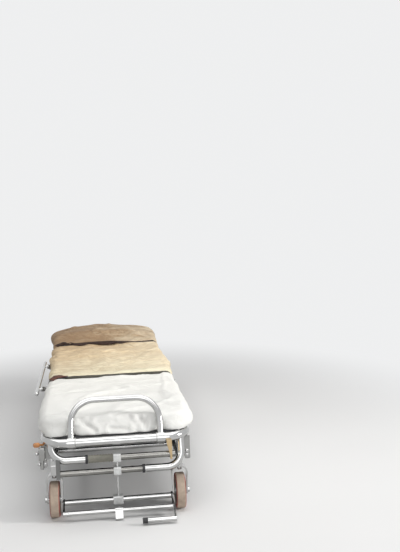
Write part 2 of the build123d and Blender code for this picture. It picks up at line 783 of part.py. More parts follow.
with BuildPart() as pedal_cap:
    pin_x((pedal_start - pedal_cap_over, pedal_start + pedal_cap_len), pedal_y, pedal_z, pedal_cap_r)
    pin_x((pedal_start, pedal_start + pedal_cap_len), pedal_y, pedal_z, pedal_r, Mode.SUBTRACT)
save(pedal_cap, "pedal_cap")

# Swivelling casters at the head end, their wheels trailing towards the foot
for name, s in SIDES:
    with BuildPart() as caster:
        fork_strap(-trail, 0, 2 * crown_r)
        with Locations((0, 0, fork_top - 1 + (crown_t + 1) / 2)):
            Cylinder(crown_r, crown_t + 1)
        stem_top = base_z + base_tube_r + sleeve_above + touch
        with Locations((0, 0, (fork_top + stem_top) / 2)):
            Cylinder(stem_r, stem_top - fork_top)
        with Locations((0, 0, stem_top + stem_cap_t / 2)):
            Cylinder(stem_cap_r, stem_cap_t)
        for side in (-1, 1):
            pin_x(span(0, fork_outer + nut_t, side), -trail, wheel_r, axle_pin_r)
            pin_x(span(fork_outer, fork_outer + nut_t, side), -trail, wheel_r, nut_r)
    with BuildPart() as placed:
        add(caster.part.moved(Location((s * base_x, stem_y, 0))))
    save(placed, f"caster_fork_{name}")

# Wheels: a moulded hub with round openings, and a solid tyre on it
hub_r = wheel_r - tyre_t
with BuildPart() as hub:
    pin_x((-hub_web_t / 2, hub_web_t / 2), 0, 0, hub_r)
    rim = wheel_w / 2 - hub_inset
    pin_x((-rim, rim), 0, 0, hub_r)
    pin_x((-rim, -hub_web_t / 2), 0, 0, hub_r - hub_rim_t, Mode.SUBTRACT)
    pin_x((hub_web_t / 2, rim), 0, 0, hub_r - hub_rim_t, Mode.SUBTRACT)
    pin_x((-hub_w / 2, hub_w / 2), 0, 0, hub_boss_r)
    with BuildSketch(Plane.YZ.offset(-hub_web_t / 2)) as openings:
        with PolarLocations((hub_boss_r + hub_r - hub_rim_t) / 2, hub_holes):
            Circle(hub_hole_r)
    extrude(openings.sketch, amount=hub_web_t, mode=Mode.SUBTRACT)
    pin_x((-hub_w / 2, hub_w / 2), 0, 0, axle_pin_r + pin_play, Mode.SUBTRACT)
with BuildPart() as tyre:
    pin_x((-wheel_w / 2, wheel_w / 2), 0, 0, wheel_r)
    fillet(tyre.edges().filter_by(GeomType.CIRCLE), tyre_edge_r)
    pin_x((-wheel_w / 2, wheel_w / 2), 0, 0, hub_r, Mode.SUBTRACT)
for end, axle_y in (("foot", foot_axle_y), ("head", stem_y - trail)):
    for name, s in SIDES:
        for kind, piece in (("hub", hub), ("tyre", tyre)):
            with BuildPart() as placed:
                add(piece.part.moved(Location((s * base_x, axle_y, wheel_r))))
            save(placed, f"{kind}_{end}_{name}")
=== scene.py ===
import json
import math

import bmesh
import bpy
import numpy as np
from mathutils import Matrix, Vector
from mathutils.bvhtree import BVHTree


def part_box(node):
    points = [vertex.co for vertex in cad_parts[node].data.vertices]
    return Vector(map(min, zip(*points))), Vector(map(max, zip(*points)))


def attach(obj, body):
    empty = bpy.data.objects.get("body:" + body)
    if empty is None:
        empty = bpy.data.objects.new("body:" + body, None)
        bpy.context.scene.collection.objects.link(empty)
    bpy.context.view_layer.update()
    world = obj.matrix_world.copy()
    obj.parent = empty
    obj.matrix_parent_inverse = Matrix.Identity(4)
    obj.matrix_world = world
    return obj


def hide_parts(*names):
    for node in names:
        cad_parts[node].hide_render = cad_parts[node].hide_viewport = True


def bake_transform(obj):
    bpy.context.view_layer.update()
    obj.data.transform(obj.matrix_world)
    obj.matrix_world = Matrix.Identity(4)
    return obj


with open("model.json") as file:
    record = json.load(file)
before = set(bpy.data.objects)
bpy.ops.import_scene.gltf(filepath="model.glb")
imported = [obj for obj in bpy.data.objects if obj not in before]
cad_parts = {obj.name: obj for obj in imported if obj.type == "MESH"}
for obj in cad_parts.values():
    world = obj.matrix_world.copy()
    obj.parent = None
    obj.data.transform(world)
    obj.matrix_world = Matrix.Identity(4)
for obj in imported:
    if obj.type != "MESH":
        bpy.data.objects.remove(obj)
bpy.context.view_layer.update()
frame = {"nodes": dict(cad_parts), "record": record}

# Places read from the frame, in metres
POST_HALF = 0.009
ring_low, ring_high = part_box("bed_frame")
foam_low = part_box("mattress_leg")[0]
foam_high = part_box("mattress_back")[1]
pad_low, pad_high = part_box("head_pad")
plate_low, plate_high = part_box("bar_plates")
tube_r = (ring_high.z - ring_low.z) / 2
bed_z = ring_high.z - tube_r
side_x = ring_high.x - tube_r
end_y = ring_low.y + tube_r
foam_top = foam_high.z
leg_strap_y = sum(p.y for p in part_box("leg_strap")) / 2
chest_strap_y = sum(p.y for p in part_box("chest_strap")) / 2
post_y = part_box("rail_post_head_left")[1].y - POST_HALF

# Cloth cover: mesh size, room over the foam, radii at its edge and corners, height over the foam,
# and its hem; slack is cloth beyond the way down, spare is room for wrinkles above the hump
COVER_GRID = 0.007
COVER_OVER = 0.003
COVER_EDGE_R = 0.024
COVER_CORNER_R = 0.07
COVER_RISE = 0.006
COVER_HEM_Z = 0.2795
COVER_HEM_IN = 0.004
HEM_WAVE, HEM_WAVE_SIZE = 0.004, 0.12
COVER_THICK = 0.0012
COVER_SLACK = 0.006
COVER_SPARE = 0.006

# Wrinkles all over the top: height, size, place in the noise; then how they bend the creases
WRINKLES = ((0.0022, 0.16, 1), (0.0014, 0.06, 2))
WARP, WARP_SIZE = 0.03, 0.15
# Families of creases in the top: turn in radians, size, height, place in the noise; then how long
# and how sharp they are, and the size of the patches where they show
CREASES = (
    (0.5, 0.10, 0.0066, 5),
    (2.4, 0.13, 0.0062, 6),
    (1.35, 0.17, 0.0054, 7),
    (0.1, 0.08, 0.0046, 8),
)
CREASE_LONG = 3.2
CREASE_SHARP = 0.14
CREASE_PATCH = 0.25

# Foot face: its hem, how far it flares, and the legs of the loop handle that press it in
FOOT_HEM_Z = 0.2845
FOOT_FLARE = 0.026
FOOT_TURN = (0.55, 0.98)
LOOP_LEG_X = 0.156
LOOP_LEG_PRESS, LOOP_LEG_REACH = 0.85, 0.024
RIPPLE, RIPPLE_SIZE = 0.10, 0.06
# Sharp creases in the foot face: lines from (x, z) to (x, z), their depth and the lip beside them
FOOT_CREASES = (
    (-0.122, 0.330, -0.070, 0.296),
    (-0.145, 0.336, -0.090, 0.333),
    (0.020, 0.336, 0.055, 0.332),
    (0.085, 0.334, 0.098, 0.310),
    (0.112, 0.325, 0.104, 0.296),
    (-0.020, 0.300, 0.045, 0.294),
)
CREASE_DEPTH, CREASE_HALF = 0.008, 0.006
LIP_SHARE, LIP_AT, LIP_HALF = 0.45, 0.014, 0.007

# Bulges of the hanging sides: the least, then depth, place along the bed and half length of each
BULGES_RIGHT = (0.004, ((0.018, 0.13, 0.2), (0.009, -0.43, 0.12), (0.013, -0.80, 0.2)))
BULGES_LEFT = (0.003, ((0.022, 0.5, 0.22), (0.036, 0.93, 0.15), (0.006, -0.62, 0.16)))
BULGE_FOOT, BULGE_HEAD = 0.002, 0.008
BULGE_CORNER, BULGE_OTHERS = 0.014, 0.004
# How low they hang along the sides, how much lower at the foot, and where that begins and is full
BULGE_LOW, BULGE_FOOT_LOWER = 0.8, 1.5
BULGE_LOWERS = (0.62, 0.84)
# Small and wide folds in them: height, size; and how much a strap and the left post hold them in
FOLD_SMALL, FOLD_SMALL_SIZE = 0.0035, 0.05
FOLD_WIDE, FOLD_WIDE_SIZE = 0.004, 0.17
STRAP_HOLDS, POST_HOLDS, POST_REACH = 0.75, 0.8, 0.05

# Hump over the pillow
HUMP_HEIGHT = 0.054
HUMP_RISE = (0.70, 0.82)
HUMP_MIDDLE = -0.035
HUMP_HALF = 0.335
HUMP_FLAT = 2.5

# How the cloth settles: frames, how much spare cloth there is, how far a point may move,
# and how near a strap, the hem or the foot end it is held and free
SETTLE_FRAMES = 36
SPARE_MOST = 0.06
SPARE_LEAST = 0.025
SPARE_SIZE = 0.16
SETTLE_CAP = 0.014
FREE_STRAP = (0.002, 0.02)
FREE_HEM = (0.004, 0.03)
FREE_FOOT = (0.0, 0.07)

# Straps: webbing, its unevenness and bow; how far it presses the cover down and smooths it, and
# the cover's swell beside it; how an end wraps the bed tube, in steps and degrees
STRAP_W = 0.048
STRAP_T = 0.0017
STRAP_LIFT = 0.0012
STRAP_WAVE, STRAP_WAVE_SIZE = 0.0006, 0.02
STRAP_BOW, STRAP_BOW_SIZE = 0.004, 0.09
STRAP_ROWS = 150
PINCH_HALF = 0.05
PINCH_DEPTH, PINCH_SMOOTHS = 0.0022, 0.92
SWELL, SWELL_AT, SWELL_HALF = 0.0035, 0.055, 0.02
WRAP_STEPS, WRAP_FROM, WRAP_TURN, WRAP_LIFT = 14, 35, 16, 0.0022
STRAND_COLS = 5

# Height of a pad's rim, as a share of the radius of its edge
PAD_RIM = 0.35

# Camera, at the photograph's place; its image is 400 pixels wide and 552 high
FOCAL_PX = 814.0
IMAGE_H = 552.0
SENSOR = 36.0
CAMERA_BACK = 2.790
CAMERA_X = -0.0538
CAMERA_Z = 1.0949
YAW, PITCH, ROLL = 7.456, 5.395, -1.665

# Hardware: the arch of a foot fork above its lowest point, and the bolts' places and seats
FORK_ARCH_UNDER = 0.1044
PLATE_BOLT_IN = 0.0115
PLATE_BOLT_HEIGHTS = (0.012, 0.028)
SIDE_BOLT_PLACES = (-0.62, 0.38, 0.72)
SIDE_BOLT_SEAT = -0.0006
POST_BOLT_SEAT = 0.0007

# The pale background, the share of it that lights the object, and how the floor fades into it
PALE = (0.86, 0.865, 0.87)
WORLD_LIGHT = 0.16
FLOOR_FADE = (0.9, 2.2)
FLOOR_STRETCH = (1.0, 0.8, 1.0)

# Random numbers for the wrinkles, and how far apart its places are
LATTICE = 256
SEED = 11
NOISE_STEP = (37.3, 11.9)
rng = np.random.default_rng(SEED)
lattice = rng.random((LATTICE, LATTICE)) * 2 - 1


def noise(x, y, size, shift):
    """Smooth noise from -1 to 1 on arrays of places, with features about size metres wide."""
    u = np.asarray(x) / size + NOISE_STEP[0] * (shift + 1)
    v = np.asarray(y) / size + NOISE_STEP[1] * (shift + 1)
    iu, iv = np.floor(u).astype(int), np.floor(v).astype(int)
    fu, fv = u - iu, v - iv
    fu, fv = fu * fu * (3 - 2 * fu), fv * fv * (3 - 2 * fv)
    a = lattice[iu % LATTICE, iv % LATTICE]
    b = lattice[(iu + 1) % LATTICE, iv % LATTICE]
    c = lattice[iu % LATTICE, (iv + 1) % LATTICE]
    d = lattice[(iu + 1) % LATTICE, (iv + 1) % LATTICE]
    return (a * (1 - fu) + b * fu) * (1 - fv) + (c * (1 - fu) + d * fu) * fv


def smooth(value, low, high):
    """0 below low, 1 above high, eased between them."""
    t = np.clip((np.asarray(value) - low) / (high - low), 0, 1)
    return t * t * (3 - 2 * t)


def ridge(value, width):
    """1 where value is 0, falling to 0 at width on either side."""
    return np.exp(-((value / width) ** 2))


def new_object(name, data):
    """A new object in the scene."""
    obj = bpy.data.objects.new(name, data)
    bpy.context.scene.collection.objects.link(obj)
    return obj


def mesh_object(name, points, faces):
    """A new smooth mesh object from points and faces."""
    mesh = bpy.data.meshes.new(name)
    mesh.from_pydata([tuple(map(float, p)) for p in points], [], faces)
    mesh.validate()
    mesh.shade_smooth()
    return new_object(name, mesh)


def grid_faces(index):
    """The quads of a grid of point numbers; -1 stands for no point."""
    corners = (index[:-1, :-1], index[1:, :-1], index[1:, 1:], index[:-1, 1:])
    return [tuple(quad) for quad in np.stack(corners, -1).reshape(-1, 4).tolist()]


def apply_modifiers(obj):
    """Turns the object's modifiers into smooth mesh."""
    bpy.context.view_layer.update()
    graph = bpy.context.evaluated_depsgraph_get()
    mesh = bpy.data.meshes.new_from_object(obj.evaluated_get(graph))
    obj.modifiers.clear()
    obj.data = mesh
    mesh.shade_smooth()


def thicken(obj, thick, offset):
    """Gives a sheet its thickness."""
    mod = obj.modifiers.new("thick", "SOLIDIFY")
    mod.thickness = thick
    mod.offset = offset
    apply_modifiers(obj)


def finish_piece(obj, body, slot, material=None):
    """Gives a piece its own material or its slot's, keeps a cover piece's rest places, and gives it
    its body if it rides on one.
    """
    obj.data.materials.clear()
    obj.data.materials.append(material or MATERIALS[slot])
    if slot == "cover":
        keep_rest_place(obj)
    if body:
        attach(obj, body)


def keep_rest_place(obj):
    """Stores each point's place, so that the cloth's pattern stays on it when it bends."""
    places = np.zeros(len(obj.data.vertices) * 3)
    obj.data.vertices.foreach_get("co", places)
    stored = obj.data.attributes.new("rest_place", "FLOAT_VECTOR", "POINT")
    stored.data.foreach_set("vector", places)


# Materials

def plug(tree, socket, value):
    """Links an input, or gives it a number, a vector or a colour."""
    if isinstance(value, bpy.types.NodeSocket):
        tree.links.new(value, socket)
    else:
        socket.default_value = (*value, 1) if socket.type == "RGBA" else value


def fill(tree, made, **values):
    """Sets a node's inputs, named with _ for a space, or else its properties."""
    for key, value in values.items():
        socket = made.inputs.get(key.replace("_", " "))
        if socket is None:
            setattr(made, key, value)
        else:
            plug(tree, socket, value)
    return made


def node(tree, kind, **values):
    """A new node with its inputs and properties."""
    return fill(tree, tree.nodes.new(kind), **values)


def new_material(name, **sockets):
    """A Principled material; sockets are its plain values."""
    mat = bpy.data.materials.new(name)
    mat.use_nodes = True
    shader = fill(mat.node_tree, mat.node_tree.nodes["Principled BSDF"], **sockets)
    return mat, mat.node_tree, shader


def object_place(tree, scale=(1, 1, 1), source="Object"):
    """Object coordinates, scaled on each axis."""
    coords = node(tree, "ShaderNodeTexCoord")
    mapping = node(tree, "ShaderNodeMapping", Vector=coords.outputs[source], Scale=scale)
    return mapping.outputs["Vector"]


def rest_place(tree, scale=(1, 1, 1), turn=0.0):
    """The places that the cloth pieces keep of themselves at rest, turned about Z, then scaled."""
    kept = node(tree, "ShaderNodeAttribute", attribute_name="rest_place")
    aligned = node(tree, "ShaderNodeMapping", Vector=kept.outputs["Vector"], Rotation=(0, 0, -turn))
    mapping = node(tree, "ShaderNodeMapping", Vector=aligned.outputs["Vector"], Scale=scale)
    return mapping.outputs["Vector"]


def noise_node(tree, place, scale, detail=4.0, rough=0.55, distortion=0.0):
    """Noise from 0 to 1."""
    made = node(
        tree, "ShaderNodeTexNoise",
        Vector=place, Scale=scale, Detail=detail, Roughness=rough, Distortion=distortion,
    )
    return made.outputs["Fac"]


def wave(tree, place, direction, scale, **values):
    """Parallel waves from 0 to 1."""
    made = node(
        tree, "ShaderNodeTexWave", bands_direction=direction, Vector=place, Scale=scale, **values,
    )
    return made.outputs["Fac"]


def ramp(tree, fac, stops):
    """A colour ramp; stops are (place, colour or grey)."""
    made = node(tree, "ShaderNodeValToRGB", Fac=fac)
    elements = made.color_ramp.elements
    while len(elements) < len(stops):
        elements.new(0.5)
    for element, (place, colour) in zip(elements, stops):
        element.position = place
        element.color = (*colour, 1) if hasattr(colour, "__len__") else (colour, colour, colour, 1)
    return made.outputs["Color"]


def mix_colour(tree, fac, a, b, blend="MIX"):
    """Mixes two colours; fac, a and b are sockets or values."""
    made = node(tree, "ShaderNodeMix", data_type="RGBA", blend_type=blend)
    for place, value in ((0, fac), (6, a), (7, b)):
        plug(tree, made.inputs[place], value)
    return made.outputs[2]


def maths(tree, operation, a, b=0.0):
    """One operation on sockets or numbers."""
    made = node(tree, "ShaderNodeMath", operation=operation)
    for socket, value in zip(made.inputs, (a, b)):
        plug(tree, socket, value)
    return made.outputs[0]


def times(tree, first, *others):
    """The product of sockets and numbers."""
    for other in others:
        first = maths(tree, "MULTIPLY", first, other)
    return first


def add(tree, a, b):
    """The sum of two sockets or numbers."""
    return maths(tree, "ADD", a, b)


def centred(tree, fac):
    """Noise as a shift to both sides of 0."""
    return maths(tree, "SUBTRACT", fac, 0.5)


def add_bump(tree, shader, height, strength, distance):
    """Bumps the shader's surface; a second call stacks on the first."""
    made = node(tree, "ShaderNodeBump", Height=height, Strength=strength, Distance=distance)
    if shader.inputs["Normal"].is_linked:
        fill(tree, made, Normal=shader.inputs["Normal"].links[0].from_socket)
    fill(tree, shader, Normal=made.outputs["Normal"])


def metal(name, colour, low, high, scratch, stretch, dirt):
    """A worn metal: roughness from low to high in fine streaks, darker by dirt where it is smudged.

    The streaks are scratch strong and stretch fine on each axis.
    """
    mat, tree, shader = new_material(name, Metallic=1.0)
    smudge = noise_node(tree, object_place(tree), 9.0, 5.0, 0.6)
    streaks = noise_node(tree, object_place(tree, stretch), 6.0, 3.0, 0.6)
    mixed = add(tree, times(tree, smudge, 0.6), times(tree, streaks, 0.4))
    dark = tuple(c * (1 - dirt) for c in colour)
    fill(
        tree, shader,
        Roughness=ramp(tree, mixed, [(0.3, low), (0.72, high)]),
        Base_Color=ramp(tree, smudge, [(0.25, dark), (0.6, colour)]),
    )
    add_bump(tree, shader, streaks, strength=scratch, distance=0.0006)
    return mat


def plastic(name, colour, rough, grain=700.0):
    """Moulded plastic or rubber with a fine grain and paler wear."""
    mat, tree, shader = new_material(name)
    place = object_place(tree)
    wear = noise_node(tree, place, 22.0, 6.0, 0.65)
    pale = tuple(min(1.0, c * 1.7 + 0.012) for c in colour)
    fill(
        tree, shader,
        Base_Color=ramp(tree, wear, [(0.42, colour), (0.75, pale)]),
        Roughness=ramp(tree, wear, [(0.3, rough), (0.7, min(1.0, rough + 0.2))]),
    )
    add_bump(tree, shader, noise_node(tree, place, grain, 2.0), strength=0.15, distance=0.0004)
    return mat


def painted(name, colour, rough):
    """Light grey cast metal, lightly pitted."""
    mat, tree, shader = new_material(name, Metallic=0.35)
    place = object_place(tree)
    spots = noise_node(tree, place, 45.0, 6.0, 0.6)
    dark = tuple(c * 0.72 for c in colour)
    fill(
        tree, shader,
        Base_Color=ramp(tree, spots, [(0.3, dark), (0.6, colour)]),
        Roughness=ramp(tree, spots, [(0.3, rough + 0.15), (0.65, rough)]),
    )
    add_bump(tree, shader, noise_node(tree, place, 380.0, 3.0), strength=0.2, distance=0.0005)
    return mat


# Colours along the cover, partly the cloth's tint and partly painted light and shade, paler at the
# foot and darker towards the head:
# counted from the foot or a strap, place as a share of the bed's length
COVER_TINTS_AND_SHADE = (
    ("foot", 0.0, (0.845, 0.845, 0.82)),
    ("leg strap", -0.015, (0.855, 0.845, 0.80)),
    ("leg strap", 0.015, (0.90, 0.84, 0.62)),
    ("leg strap", 0.10, (0.92, 0.82, 0.59)),
    ("chest strap", -0.16, (0.89, 0.725, 0.475)),
    ("chest strap", -0.02, (0.73, 0.55, 0.33)),
    ("chest strap", 0.02, (0.43, 0.295, 0.17)),
    ("foot", 0.97, (0.41, 0.28, 0.16)),
)
COLOUR_DRIFT = 0.05

# Stains, with painted shade darkening them towards the left, and pale places, with painted light
# brightening them towards the right,
# beyond the leg strap: squeeze along the bed; the noise's scale, detail, roughness and distortion;
# lean to the right, which paints the side shade and light; where they begin and are full; strength;
# colour; blend
COVER_STAINS_AND_SIDE_SHADING = (
    (1.8, (10.0, 8.0, 0.66, 0.9), -0.7, 0.44, 0.70, 0.7, (0.76, 0.68, 0.60), "MULTIPLY"),
    (2.2, (8.0, 7.0, 0.62, 0.8), 0.8, 0.50, 0.80, 0.75, (0.95, 0.83, 0.61), "MIX"),
)

# Two crossing families of crumples, which bump the cloth and paint shade into its creases: turn in
# radians, scale
CRUMPLES = ((0.55, 11.0), (2.3, 13.0))
CRUMPLE_LONG = 0.43
CRUMPLE_DEPTH = 0.006
WEAVE_SCALE = 210.0


def crumple_lines(tree):
    """0 on the cloth's sharp creases, rising away from them."""
    families = []
    for turn, scale in CRUMPLES:
        place = rest_place(tree, (CRUMPLE_LONG, 1, 1), turn)
        lines = noise_node(tree, place, scale, 4.0, 0.5, 0.3)
        families.append(maths(tree, "ABSOLUTE", centred(tree, lines)))
    return maths(tree, "MINIMUM", *families)


def cover_material():
    """Cotton cover: white to the leg strap, warm cream beyond it and darker towards the head,
    partly as tint and partly as painted shade, with faint stains, painted shade to the left,
    painted light to the right and painted shade in its creases.
    """
    mat, tree, shader = new_material(
        "cover_cloth",
        Roughness=0.88, Specular_IOR_Level=0.3, Sheen_Weight=0.12, Sheen_Roughness=0.5,
    )
    place = rest_place(tree)
    split = node(tree, "ShaderNodeSeparateXYZ", Vector=place)
    length = ring_high.y - ring_low.y
    share = maths(tree, "DIVIDE", maths(tree, "SUBTRACT", split.outputs["Y"], ring_low.y), length)
    drift = centred(tree, noise_node(tree, place, 5.0, 3.0))
    share = add(tree, share, times(tree, drift, COLOUR_DRIFT))
    strap = (leg_strap_y - ring_low.y) / length
    starts = {"foot": 0.0, "leg strap": strap, "chest strap": (chest_strap_y - ring_low.y) / length}
    # Tint with painted light at the foot and painted shade deepening towards the head
    colour = ramp(tree, share, [(starts[start] + on, tint) for start, on, tint in COVER_TINTS_AND_SHADE])
    beyond = ramp(tree, share, [(strap, 0.0), (strap + 0.05, 1.0)])
    # Random stains and pale places, plus painted shade on the left and painted light on the right
    # from the lean
    for squeeze, grain, side_shading_lean, low, high, strength, tint, blend in COVER_STAINS_AND_SIDE_SHADING:
        patch = noise_node(tree, rest_place(tree, (1.0, squeeze, 1.0)), *grain)
        patch = add(tree, patch, times(tree, split.outputs["X"], side_shading_lean))
        patch = times(tree, ramp(tree, patch, [(low, 0.0), (high, 1.0)]), beyond, strength)
        colour = mix_colour(tree, patch, colour, tint, blend)
    crumple = crumple_lines(tree)
    # Painted shade: the cloth's colour darkened along its creases beyond the leg strap
    crease_shade = ramp(tree, crumple, [(0.0, 0.8), (0.03, 0.4), (0.09, 0.0)])
    crease_shade = times(tree, crease_shade, beyond, 0.6)
    colour = mix_colour(tree, crease_shade, colour, (0.66, 0.58, 0.50), "MULTIPLY")
    weave = times(tree, *[
        wave(tree, place, direction, WEAVE_SCALE, Distortion=0.6, Detail=1.0) for direction in "XY"
    ])
    fill(tree, shader, Base_Color=mix_colour(tree, times(tree, weave, 0.10), colour, (1, 1, 1)))
    deep = ramp(tree, beyond, [(0.0, 0.2), (1.0, 0.8)])
    add_bump(tree, shader, ramp(tree, crumple, [(0.0, 0.0), (0.12, 1.0)]), deep, CRUMPLE_DEPTH)
    fine = ramp(tree, beyond, [(0.0, 0.3), (1.0, 0.6)])
    rumple = noise_node(tree, rest_place(tree, (1.0, 1.6, 1.0)), 26.0, 7.0, 0.62, 0.9)
    add_bump(tree, shader, rumple, fine, CRUMPLE_DEPTH)
    add_bump(tree, shader, weave, strength=0.25, distance=0.0006)
    return mat


def webbing_material(name, colour, edge):
    """Woven webbing, its ribs laid out by the strap's own lengthwise and crosswise places."""
    mat, tree, shader = new_material(
        name,
        Roughness=0.85, Specular_IOR_Level=0.2, Sheen_Weight=0.06, Sheen_Roughness=0.45,
    )
    place = object_place(tree, source="UV")
    ribs = wave(tree, place, "DIAGONAL", 260.0, Distortion=0.5)
    rows = wave(tree, place, "Y", 95.0)
    height = add(tree, times(tree, ribs, 0.6), times(tree, rows, 0.4))
    fade = noise_node(tree, object_place(tree), 30.0, 5.0, 0.65)
    base = ramp(tree, fade, [(0.35, colour), (0.8, edge)])
    dark = tuple(c * 0.4 for c in colour)
    fill(tree, shader, Base_Color=mix_colour(tree, times(tree, height, 0.35), base, dark))
    add_bump(tree, shader, height, strength=0.7, distance=0.0009)
    return mat


def tyre_material():
    """Solid tyre: grey-tan on the worn tread, brick red on its sides."""
    mat, tree, shader = new_material("tyre_rubber", Specular_IOR_Level=0.35)
    coords = node(tree, "ShaderNodeTexCoord")
    split = node(tree, "ShaderNodeSeparateXYZ", Vector=coords.outputs["Normal"])
    place = object_place(tree)
    speck = noise_node(tree, place, 60.0, 6.0, 0.65)
    side = maths(tree, "ABSOLUTE", split.outputs["X"])
    side = add(tree, side, times(tree, centred(tree, speck), 0.35))
    tread = ramp(tree, speck, [(0.3, (0.37, 0.285, 0.225)), (0.7, (0.54, 0.44, 0.35))])
    wall = ramp(tree, speck, [(0.3, (0.22, 0.055, 0.045)), (0.7, (0.34, 0.10, 0.08))])
    fill(
        tree, shader,
        Base_Color=mix_colour(tree, ramp(tree, side, [(0.3, 0.0), (0.75, 1.0)]), tread, wall),
        Roughness=ramp(tree, speck, [(0.3, 0.55), (0.7, 0.8)]),
    )
    add_bump(tree, shader, noise_node(tree, place, 420.0, 3.0), strength=0.3, distance=0.0008)
    return mat


def hanger_material():
    """Plated steel, tan on the right and dull grey on the left."""
    mat = metal("plated_hanger", (0.58, 0.44, 0.26), 0.25, 0.45, 0.06, (50, 50, 50), 0.3)
    tree = mat.node_tree
    shader = tree.nodes["Principled BSDF"]
    split = node(tree, "ShaderNodeSeparateXYZ", Vector=object_place(tree))
    right = maths(tree, "GREATER_THAN", split.outputs["X"], 0.0)
    tan = shader.inputs["Base Color"].links[0].from_socket
    fill(tree, shader, Base_Color=mix_colour(tree, right, (0.20, 0.20, 0.195), tan))
    return mat


MATERIALS = {
    "chrome_tube": metal("chrome", (0.55, 0.55, 0.545), 0.05, 0.16, 0.03, (60, 60, 60), 0.3),
    "satin_rod": metal("satin_steel", (0.27, 0.265, 0.25), 0.16, 0.34, 0.08, (6, 160, 160), 0.35),
    "grey_metal": metal("grey_aluminium", (0.40, 0.40, 0.39), 0.28, 0.5, 0.08, (50, 50, 50), 0.35),
    "clamp": painted("cast_clamp", (0.72, 0.73, 0.725), 0.38),
    "grip": plastic("ribbed_rubber", (0.19, 0.185, 0.155), 0.6, 500.0),
    "black_plastic": plastic("black_plastic", (0.016, 0.016, 0.018), 0.42),
    "webbing": webbing_material("dark_webbing", (0.055, 0.052, 0.038), (0.12, 0.112, 0.085)),
    "cover": cover_material(),
    "dark_board": plastic("dark_board", (0.035, 0.035, 0.038), 0.5, 300.0),
    "hub": metal("cast_hub", (0.50, 0.50, 0.49), 0.35, 0.6, 0.15, (90, 90, 90), 0.4),
    "tread": tyre_material(),
}
amber_plastic = plastic("amber_knob", (0.50, 0.22, 0.08), 0.35, 400.0)
OWN_FINISH = {"rod_hangers": hanger_material()}
dark_webbing = webbing_material("brown_black_webbing", (0.03, 0.014, 0.009), (0.07, 0.036, 0.024))
rose_webbing = webbing_material("rose_brown_webbing", (0.11, 0.045, 0.035), (0.27, 0.14, 0.105))


def dress_cad_nodes():
    """Gives each CAD node the procedural material of its slot, or its own finish."""
    for part in frame["record"]["subparts"]:
        mesh = frame["nodes"][part["node"]].data
        mesh.materials.clear()
        mesh.materials.append(OWN_FINISH.get(part["node"]) or MATERIALS[part["material_slot"]])


# Cloth cover: a flat sheet laid over the mattress, down its sides and onto the bed tube

half_x = foam_high.x + COVER_OVER - COVER_EDGE_R
half_y = (foam_high.y - foam_low.y) / 2 + COVER_OVER - COVER_EDGE_R
middle_y = (foam_high.y + foam_low.y) / 2
turn_r = COVER_CORNER_R - COVER_EDGE_R


def creases(x, y):
    """Height of the cover's wrinkles."""
    total = sum(height * noise(x, y, size, shift) for height, size, shift in WRINKLES)
    warp_x = x + WARP * noise(x, y, WARP_SIZE, 3)
    warp_y = y + WARP * noise(x, y, WARP_SIZE, 4)
    for angle, size, height, shift in CREASES:
        along = warp_x * math.cos(angle) + warp_y * math.sin(angle)
        across = -warp_x * math.sin(angle) + warp_y * math.cos(angle)
        lines = ridge(noise(along / CREASE_LONG, across, size, shift), CREASE_SHARP)
        total = total + height * lines * smooth(noise(x, y, CREASE_PATCH, shift), -0.5, 0.3)
    return total


def from_straps(y):
    """How far y is from the nearer strap's middle."""
    return np.minimum(np.abs(y - leg_strap_y), np.abs(y - chest_strap_y))


def strap_pinch(y):
    """How far a strap presses the cover down at y, from 0 to 1."""
    return 1 - smooth(from_straps(y), STRAP_W / 2, PINCH_HALF)


def cover_top(x, y, wrinkles):
    """Height of the cover's upper face; wrinkles is 1, or 0 for none."""
    rise = smooth(y, *HUMP_RISE)
    dome = 1 - np.minimum(np.abs((x - HUMP_MIDDLE) / HUMP_HALF), 1) ** HUMP_FLAT
    z = foam_top + COVER_RISE + HUMP_HEIGHT * rise * dome
    pinch = strap_pinch(y)
    z = z + wrinkles * creases(x, y) * (1 - PINCH_SMOOTHS * pinch)
    return z + SWELL * ridge(from_straps(y) - SWELL_AT, SWELL_HALF) - PINCH_DEPTH * pinch


